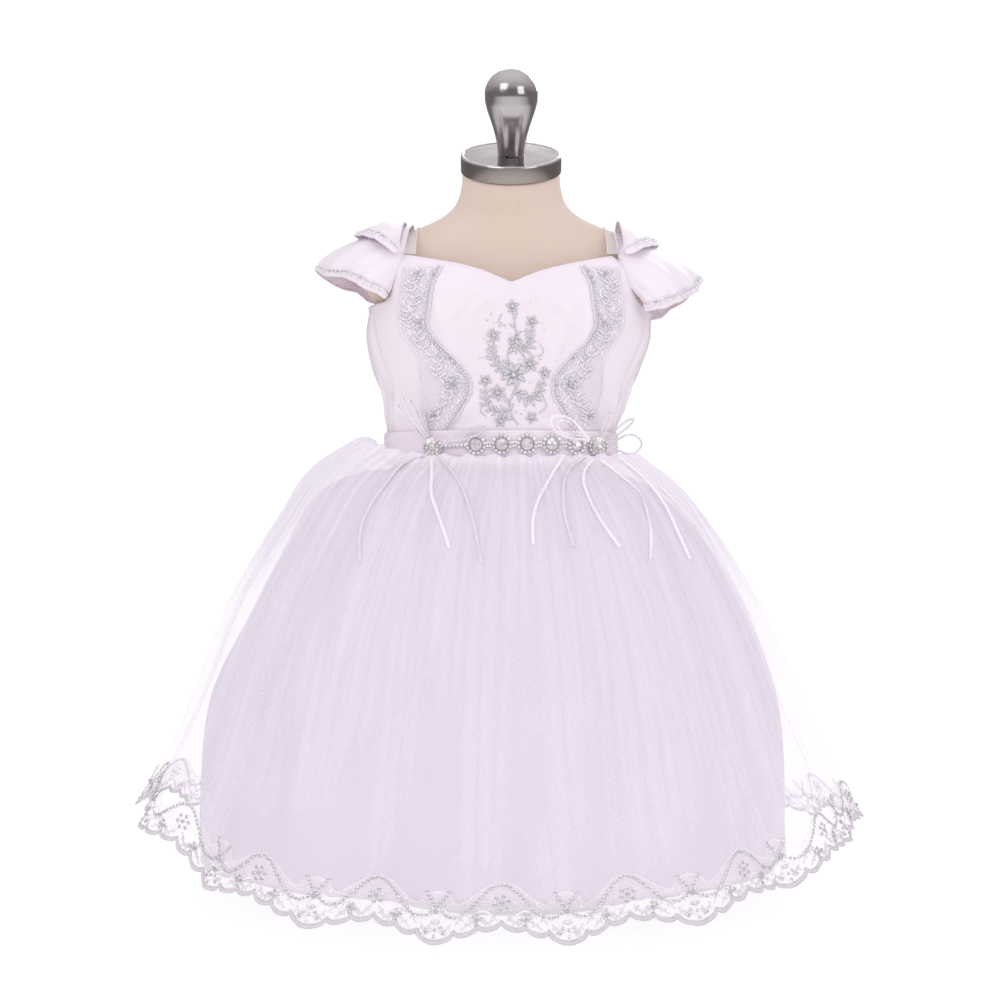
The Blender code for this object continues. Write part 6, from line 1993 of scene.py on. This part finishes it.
for side, x, z in BROOCH:
    b = Builder()
    p, n = brooch_frame(x, z)
    right, up_, n = frame_at(n)
    # domed metal back that reaches down to the sash, with a rolled rim
    for q, h, rad in ((0, -0.0016, BROOCH_R * 0.86),):
        ring = np.arange(40) * 2 * np.pi / 40
        circle = np.cos(ring)[:, None] * right + np.sin(ring)[:, None] * up_
        rows = [(0.30, -0.0060), (0.45, -0.0030), (0.88, -0.0018),
                (0.96, -0.0008), (0.88, 0.0004), (0.50, 0.0011), (0.04, 0.0013)]
        v = np.concatenate([p + circle * BROOCH_R * q2 + n * h2
                            for q2, h2 in rows])
        f = grid_faces(len(rows), 40, True).tolist()
        f.append(tuple(reversed(range(40))))
        f.append(tuple(6 * 40 + j for j in range(40)))
        b.add(v, f, 1)
    add_crystal(b, p + n * 0.0012, n, 0.0027, 0, 10, 0.2, 0.75)
    for q in range(8):
        ang = q * math.pi / 4 + 0.2
        d = right * math.cos(ang) + up_ * math.sin(ang)
        add_crystal(b, p + d * 0.0042 + n * 0.0007, n + d * 0.35, 0.00150, 0, 7,
                    0.3 * q, 0.7)
    for q in range(14):
        ang = q * 2 * math.pi / 14
        d = right * math.cos(ang) + up_ * math.sin(ang)
        add_crystal(b, p + d * 0.0066 - n * 0.0001, n + d * 0.7, 0.00118, 0, 6,
                    0.4 * q, 0.8)
        d2 = right * math.cos(ang + 0.22) + up_ * math.sin(ang + 0.22)
        add_bead(b, p + d2 * 0.0055 + n * 0.0005, n, 0.00055, 3, lift=0.7)
    obj = b.build("rhinestone_brooch_" + side, [STONE_MAT, CLAW_MAT, BEAD_MAT,
                                                DARK_MAT], smooth=False)
    keep(obj, "rhinestone", "brooch_" + side)


# ------------------------------------------------------- bows and tails
def smooth_route(points, step):
    """Evenly spaced points of a Catmull-Rom curve through the given ones."""
    pts = [points[0] * 2 - points[1]] + list(points) + [
        points[-1] * 2 - points[-2]]
    fine = []
    for i in range(1, len(pts) - 2):
        p0, p1, p2, p3 = pts[i - 1:i + 3]
        for j in range(24):
            t = j / 24
            fine.append(0.5 * ((2 * p1) + (p2 - p0) * t
                               + (2 * p0 - 5 * p1 + 4 * p2 - p3) * t * t
                               + (3 * p1 - p0 - 3 * p2 + p3) * t ** 3))
    fine.append(points[-1])
    fine = np.array([tuple(p) for p in fine])
    run = np.concatenate([[0], np.cumsum(np.linalg.norm(np.diff(fine, axis=0),
                                                        axis=1))])
    at = np.linspace(0, run[-1], max(3, int(round(run[-1] / step))) + 1)
    return np.stack([np.interp(at, run, fine[:, k]) for k in range(3)], -1)


def rest_on(tree, p, distance):
    y = front_y(tree, p.x, p.z, p.y)
    p = Vector((p.x, y - distance, p.z))
    for _ in range(8):
        near, _, _, gap = tree.find_nearest(p)
        if gap >= distance - 0.00002:
            break
        p = near + (p - near).normalized() * distance
    return p


def ribbon(points, width, thick, face, twist=0.0, plump=0.0):
    """Flat band along points: face is the direction its flat side looks."""
    pts = np.asarray(points, float)
    n = len(pts)
    tan = np.gradient(pts, axis=0)
    tan /= np.linalg.norm(tan, axis=1, keepdims=True)
    face = np.asarray(face, float)
    if face.ndim == 1:
        face = np.tile(face, (n, 1))
    face = face - (face * tan).sum(1, keepdims=True) * tan
    face /= np.linalg.norm(face, axis=1, keepdims=True)
    side = np.cross(tan, face)
    if np.any(twist):
        a = np.broadcast_to(np.asarray(twist, float), (n,))[:, None]
        side, face = (side * np.cos(a) + face * np.sin(a),
                      face * np.cos(a) - side * np.sin(a))
    prof = [(-0.5, 0.0), (-0.46, 0.5), (-0.2, 0.5 + plump), (0.2, 0.5 + plump),
            (0.46, 0.5), (0.5, 0.0), (0.46, -0.5), (0.2, -0.5 - plump),
            (-0.2, -0.5 - plump), (-0.46, -0.5)]
    w = np.broadcast_to(np.asarray(width, float), (n,))[:, None]
    v = np.stack([pts + side * w * a + face * thick * c for a, c in prof], 1)
    m = len(prof)
    faces = []
    for i in range(n - 1):
        for j in range(m):
            k = (j + 1) % m
            faces.append((i * m + j, i * m + k, (i + 1) * m + k,
                          (i + 1) * m + j))
    faces.append(tuple(range(m))[::-1])
    faces.append(tuple((n - 1) * m + j for j in range(m)))
    return v.reshape(-1, 3), faces


def build_tails():
    """The hanging ends of the bows: narrow ribbons and woven silver cord that
    lie on the tulle, each ending in its own bare cut end."""
    front = bpy.data.objects["overlay_front"]
    tree = cad_tree([front, sash, chain])
    for name, route in TAILS.items():
        points = []
        for x, z in route:
            y = front_y(tree, x, z, -0.09)
            points.append(Vector((x, y - 0.0014, z)))
        pts = smooth_route(points, 0.0031)
        pts = np.array([tuple(rest_on(tree, Vector(p), 0.00145)) for p in pts])
        for _ in range(6):
            pts[1:-1] = pts[1:-1] * 0.5 + (pts[:-2] + pts[2:]) * 0.25
        run = np.concatenate([[0], np.cumsum(np.linalg.norm(
            np.diff(pts, axis=0), axis=1))])
        silver = "silver" in name
        seed = sum(ord(c) for c in name)
        normals = []
        for p in pts:
            near, nn, _, _ = tree.find_nearest(Vector(p))
            d = Vector(p) - near
            normals.append(tuple(d.normalized() if d.length > 1e-6 else nn))
        normals = np.array(normals)
        for _ in range(4):
            normals[1:-1] = (normals[:-2] + normals[1:-1] + normals[2:]) / 3
        t = run / run[-1]
        twist = 0.35 * np.sin(t * 5.0 + seed) * np.sin(np.pi * t)
        width = 0.0024
        v, f = ribbon(pts, width, 0.0009, normals, twist,
                      0.25 if silver else 0.05)
        obj = make_mesh(name + "_ribbon", v, f,
                        CORD_MAT if silver else RIBBON_MAT)
        obj.data.set_sharp_from_angle(angle=math.radians(70))
        keep(obj, "silver_cord" if silver else "ribbon", name)


build_tails()


def build_loops():
    tree = cad_tree(["bodice_front", "lace_panel_left", "lace_panel_right",
                     "waist_sash", "belt_chain"])
    for name, side, tx, tz, spread, level in LOOPS:
        row = [q for q in BROOCH if q[0] == side][0]
        centre, _ = brooch_frame(row[1], row[2])
        start = Vector((centre[0], centre[2]))
        tip = Vector((tx, tz))
        along = (tip - start).normalized()
        across = Vector((-along.y, along.x))
        start = start + along * (BROOCH_R + 0.0010)
        length = (tip - start).length
        steps = 26
        f = np.linspace(0, 1, steps)
        half = 0.0005 + spread * np.sin(math.pi * f ** 1.5) ** 0.8
        half[-1] = 0.0
        order = list(zip(f, half)) + list(zip(f[::-1][1:], -half[::-1][1:]))
        reach = [1.0, 1.0]
        for q, h in order[::2]:
            p = start + along * length * q + across * h
            for dx in (-0.0025, 0.0, 0.0025):
                for dz in (-0.0025, 0.0, 0.0025):
                    x = max(-0.086, min(0.078, p.x + dx))
                    y = front_y(tree, x, p.y + dz, -0.05)
                    index = 0 if q < 0.5 else 1
                    reach[index] = min(reach[index], y)
        lift = LOOP_CLEAR + LOOP_W / 2 + (level - 1) * (LOOP_W + 0.0006)
        near = reach[0]
        far = reach[1] if reach[1] > near else near + (reach[1] - near) * 2
        pts = []
        for q, h in order:
            p = start + along * length * q + across * h
            y = near + (far - near) * max(0.0, q - 0.5) * 2 - lift
            # the root curls down to the back of the brooch
            y += 0.0008 * (1 - q) ** 3
            pts.append((p.x, y, p.y))
        pts = np.array(pts)
        for _ in range(2):
            pts[1:-1] = pts[1:-1] * 0.6 + (pts[:-2] + pts[2:]) * 0.2
        inner = np.array([start.x + along.x * length * 0.55, pts[:, 1].mean(),
                          start.y + along.y * length * 0.55])
        face = pts - inner
        face[:, 1] = -0.0015
        silver = "silver" in name
        mat = CORD_MAT if silver else (VEIL_MAT if "sheer" in name
                                       else RIBBON_MAT)
        b = Builder()
        if silver:
            v, fc = tube(pts, 0.0010, 8, 0.7, face)
        else:
            v, fc = ribbon(pts, LOOP_W * 0.9, 0.0007, face, 1.15)
        b.add(v, fc, 0)
        if "satin" in name:
            # silver thread along the outer edge of the ribbon
            v, fc = tube(pts + np.array([0, -0.0007, 0]), 0.00028, 5, 1.0,
                         face)
            b.add(v, fc, 2)
        if "sheer" in name:
            # a second ring of the same net inside the first
            p2 = inner + (pts - inner) * 0.62
            p2[:, 1] = pts[:, 1] - 0.0004
            v, fc = ribbon(p2, LOOP_W * 0.9, 0.0004, face, 0.35)
            b.add(v, fc, 0)
            p2 = inner + (pts - inner) * 0.99
            v, fc = tube(p2 + np.array([0, -0.0011, 0]), 0.00026, 5, 1.0, face)
            b.add(v, fc, 1)
        obj = b.build(name + "_band", [mat, RIBBON_MAT, SILVER_THREAD])
        obj.data.set_sharp_from_angle(angle=math.radians(70))
        if "sheer" in name:
            n = len(obj.data.vertices)
            for key, value in (("layers", 0.9), ("turn", 0.2)):
                attribute = obj.data.attributes.new(key, "FLOAT", "POINT")
                attribute.data.foreach_set("value", np.full(n, value,
                                                            np.float32))
        keep(obj, "silver_cord" if silver else "ribbon", name)


build_loops()


# ------------------------------------------- spray at the centre front
def build_spray():
    """A generic spray of leaves and small five-petalled flowers in silver
    thread, with sequins and beads, on the middle of the bodice."""
    b = Builder()
    r = rng(91)

    def place(x, z, out=0.0009):
        return bodice_xz(np.asarray(x, float), np.asarray(z, float),
                         out + 0 * np.asarray(x, float))

    def stroke(x, z, radius, slot=0, flat=0.6, out=0.0009):
        p, n = place(x, z, out)
        v, f = tube(p, radius, 5, flat, n)
        b.add(v, f, slot)

    def leaf(x, z, angle, length, width):
        e = np.linspace(0, 1, 7)
        bend = 0.12 * length * np.sin(np.pi * e)
        lx = x + math.cos(angle) * length * e - math.sin(angle) * bend
        lz = z + math.sin(angle) * length * e + math.cos(angle) * bend
        wide = 0.00012 + width * np.sin(np.pi * np.clip(e * 0.98 + 0.02, 0, 1)) ** 0.75
        stroke(lx, lz, wide, 0, 0.40)
        stroke(lx[1:-1], lz[1:-1], 0.00022, 1, 1.0, 0.0009 + width * 0.36)

    def flower(x, z, size, turn=0.0):
        for q in range(5):
            ang = turn + q * 2 * math.pi / 5
            leaf(x + math.cos(ang) * size * 0.18, z + math.sin(ang) * size * 0.18,
                 ang, size * 0.85, size * 0.26)
        p, n = place([x], [z])
        add_bead(b, p[0], n[0], size * 0.26, 3, lift=1.0, fine=True)

    def stem(points, radius=0.00042):
        pts = np.array(points)
        k = np.arange(len(pts))
        q = np.linspace(0, len(pts) - 1, 40)
        x, z = curve_at(k, pts[:, 0], q), curve_at(k, pts[:, 1], q)
        stroke(x, z, radius)
        return x, z

    def blossom(x, z, size, petals, turn=0.0):
        for q in range(petals):
            ang = turn + q * 2 * math.pi / petals
            leaf(x + math.cos(ang) * size * 0.22, z + math.sin(ang) * size * 0.22,
                 ang, size * 0.80, size * 0.19)
        for q in range(petals):
            ang = turn + (q + 0.5) * 2 * math.pi / petals
            p, n = place([x + math.cos(ang) * size * 0.62],
                         [z + math.sin(ang) * size * 0.62])
            add_bead(b, p[0], n[0], 0.00062, 2, lift=0.9)
        p, n = place([x], [z], 0.0011)
        add_bead(b, p[0], n[0], size * 0.17, 2, lift=1.0, fine=True)
        for q in range(7):
            ang = q * 2 * math.pi / 7
            p, n = place([x + math.cos(ang) * size * 0.25],
                         [z + math.sin(ang) * size * 0.25])
            add_bead(b, p[0], n[0], 0.00070, 3 if q % 2 else 2, lift=0.9)

    # one leafy stem winds up the middle; four shorter ones leave it in turn
    STEMS = (
        ((0.0050, 0.3500), (-0.0020, 0.3640), (0.0035, 0.3830), (-0.0030, 0.4030), (0.0030, 0.4200), (0.0005, 0.4360)),
        ((-0.0010, 0.3620), (-0.0120, 0.3600), (-0.0190, 0.3680), (-0.0200, 0.3790)),
        ((0.0020, 0.3740), (0.0130, 0.3690), (0.0210, 0.3740), (0.0245, 0.3850)),
        ((0.0010, 0.3920), (-0.0085, 0.3930), (-0.0140, 0.4020), (-0.0135, 0.4130)),
        ((-0.0010, 0.4090), (0.0090, 0.4070), (0.0150, 0.4140), (0.0150, 0.4240)),
    )
    for index, pts in enumerate(STEMS):
        x, z = stem(pts, 0.00050)
        for m in range(3, 37, 3 if index == 0 else 5):
            heading = math.atan2(z[m + 1] - z[m], x[m + 1] - x[m])
            size = 0.0076 + r.uniform(-0.0008, 0.0006) - 0.0020 * m / 40
            way = 1 if (m // 3) % 2 else -1
            leaf(x[m], z[m], heading + way * (0.85 + r.uniform(-0.12, 0.12)),
                 size, size * 0.18)
            if index:
                leaf(x[m], z[m], heading - way * 0.9, size * 0.7, size * 0.14)
            p, n = place([x[m] - way * 0.0016], [z[m] + 0.0006])
            add_bead(b, p[0], n[0], 0.00062, 2, lift=0.9)
    for x, z, size, petals, turn in (
            (0.0016, 0.3880, 0.0098, 8, 0.20), (-0.0105, 0.3745, 0.0066, 6, 0.5),
            (0.0135, 0.3960, 0.0066, 6, 0.1), (-0.0200, 0.3835, 0.0052, 5, 0.9),
            (0.0250, 0.3895, 0.0052, 5, 0.3), (-0.0135, 0.4175, 0.0056, 5, 0.4),
            (0.0152, 0.4280, 0.0052, 5, 1.0), (0.0006, 0.4395, 0.0054, 5, 0.3),
            (-0.0085, 0.3530, 0.0048, 5, 0.2), (0.0150, 0.3560, 0.0050, 5, 0.7),
            (0.0035, 0.4130, 0.0050, 6, 0.2)):
        blossom(x, z, size, petals, turn)
    for pts in (((-0.0190, 0.3560), (-0.0235, 0.3610), (-0.0215, 0.3660)),
                ((0.0210, 0.3590), (0.0262, 0.3650), (0.0240, 0.3710)),
                ((-0.0040, 0.4240), (-0.0095, 0.4285), (-0.0075, 0.4340)),
                ((0.0200, 0.4010), (0.0240, 0.4060), (0.0215, 0.4110))):
        stem(pts, 0.00036)
    # a light scatter of small sequins round the spray
    for k in range(90):
        x = r.uniform(-0.0250, 0.0280)
        z = r.uniform(0.3560, 0.4440)
        wide = 0.0100 + 0.0165 * math.sin(math.pi * np.clip(
            (z - 0.345) / 0.115, 0, 1))
        if abs(x - 0.0012) > wide:
            continue
        p, n = place([x], [z], 0.0007)
        if k % 2:
            add_sequin(b, p[0], n[0], 0.0009, r.uniform(-0.3, 0.3),
                       r.uniform(0, 6), 4, lift=0.0004)
        else:
            add_bead(b, p[0], n[0], 0.00055, 2, lift=0.7)
    obj = b.build("front_spray", [SILVER_THREAD, STITCH_MAT, BEAD_MAT,
                                  DARK_MAT, SEQUIN_MAT])
    keep(obj, "rhinestone")


build_spray()
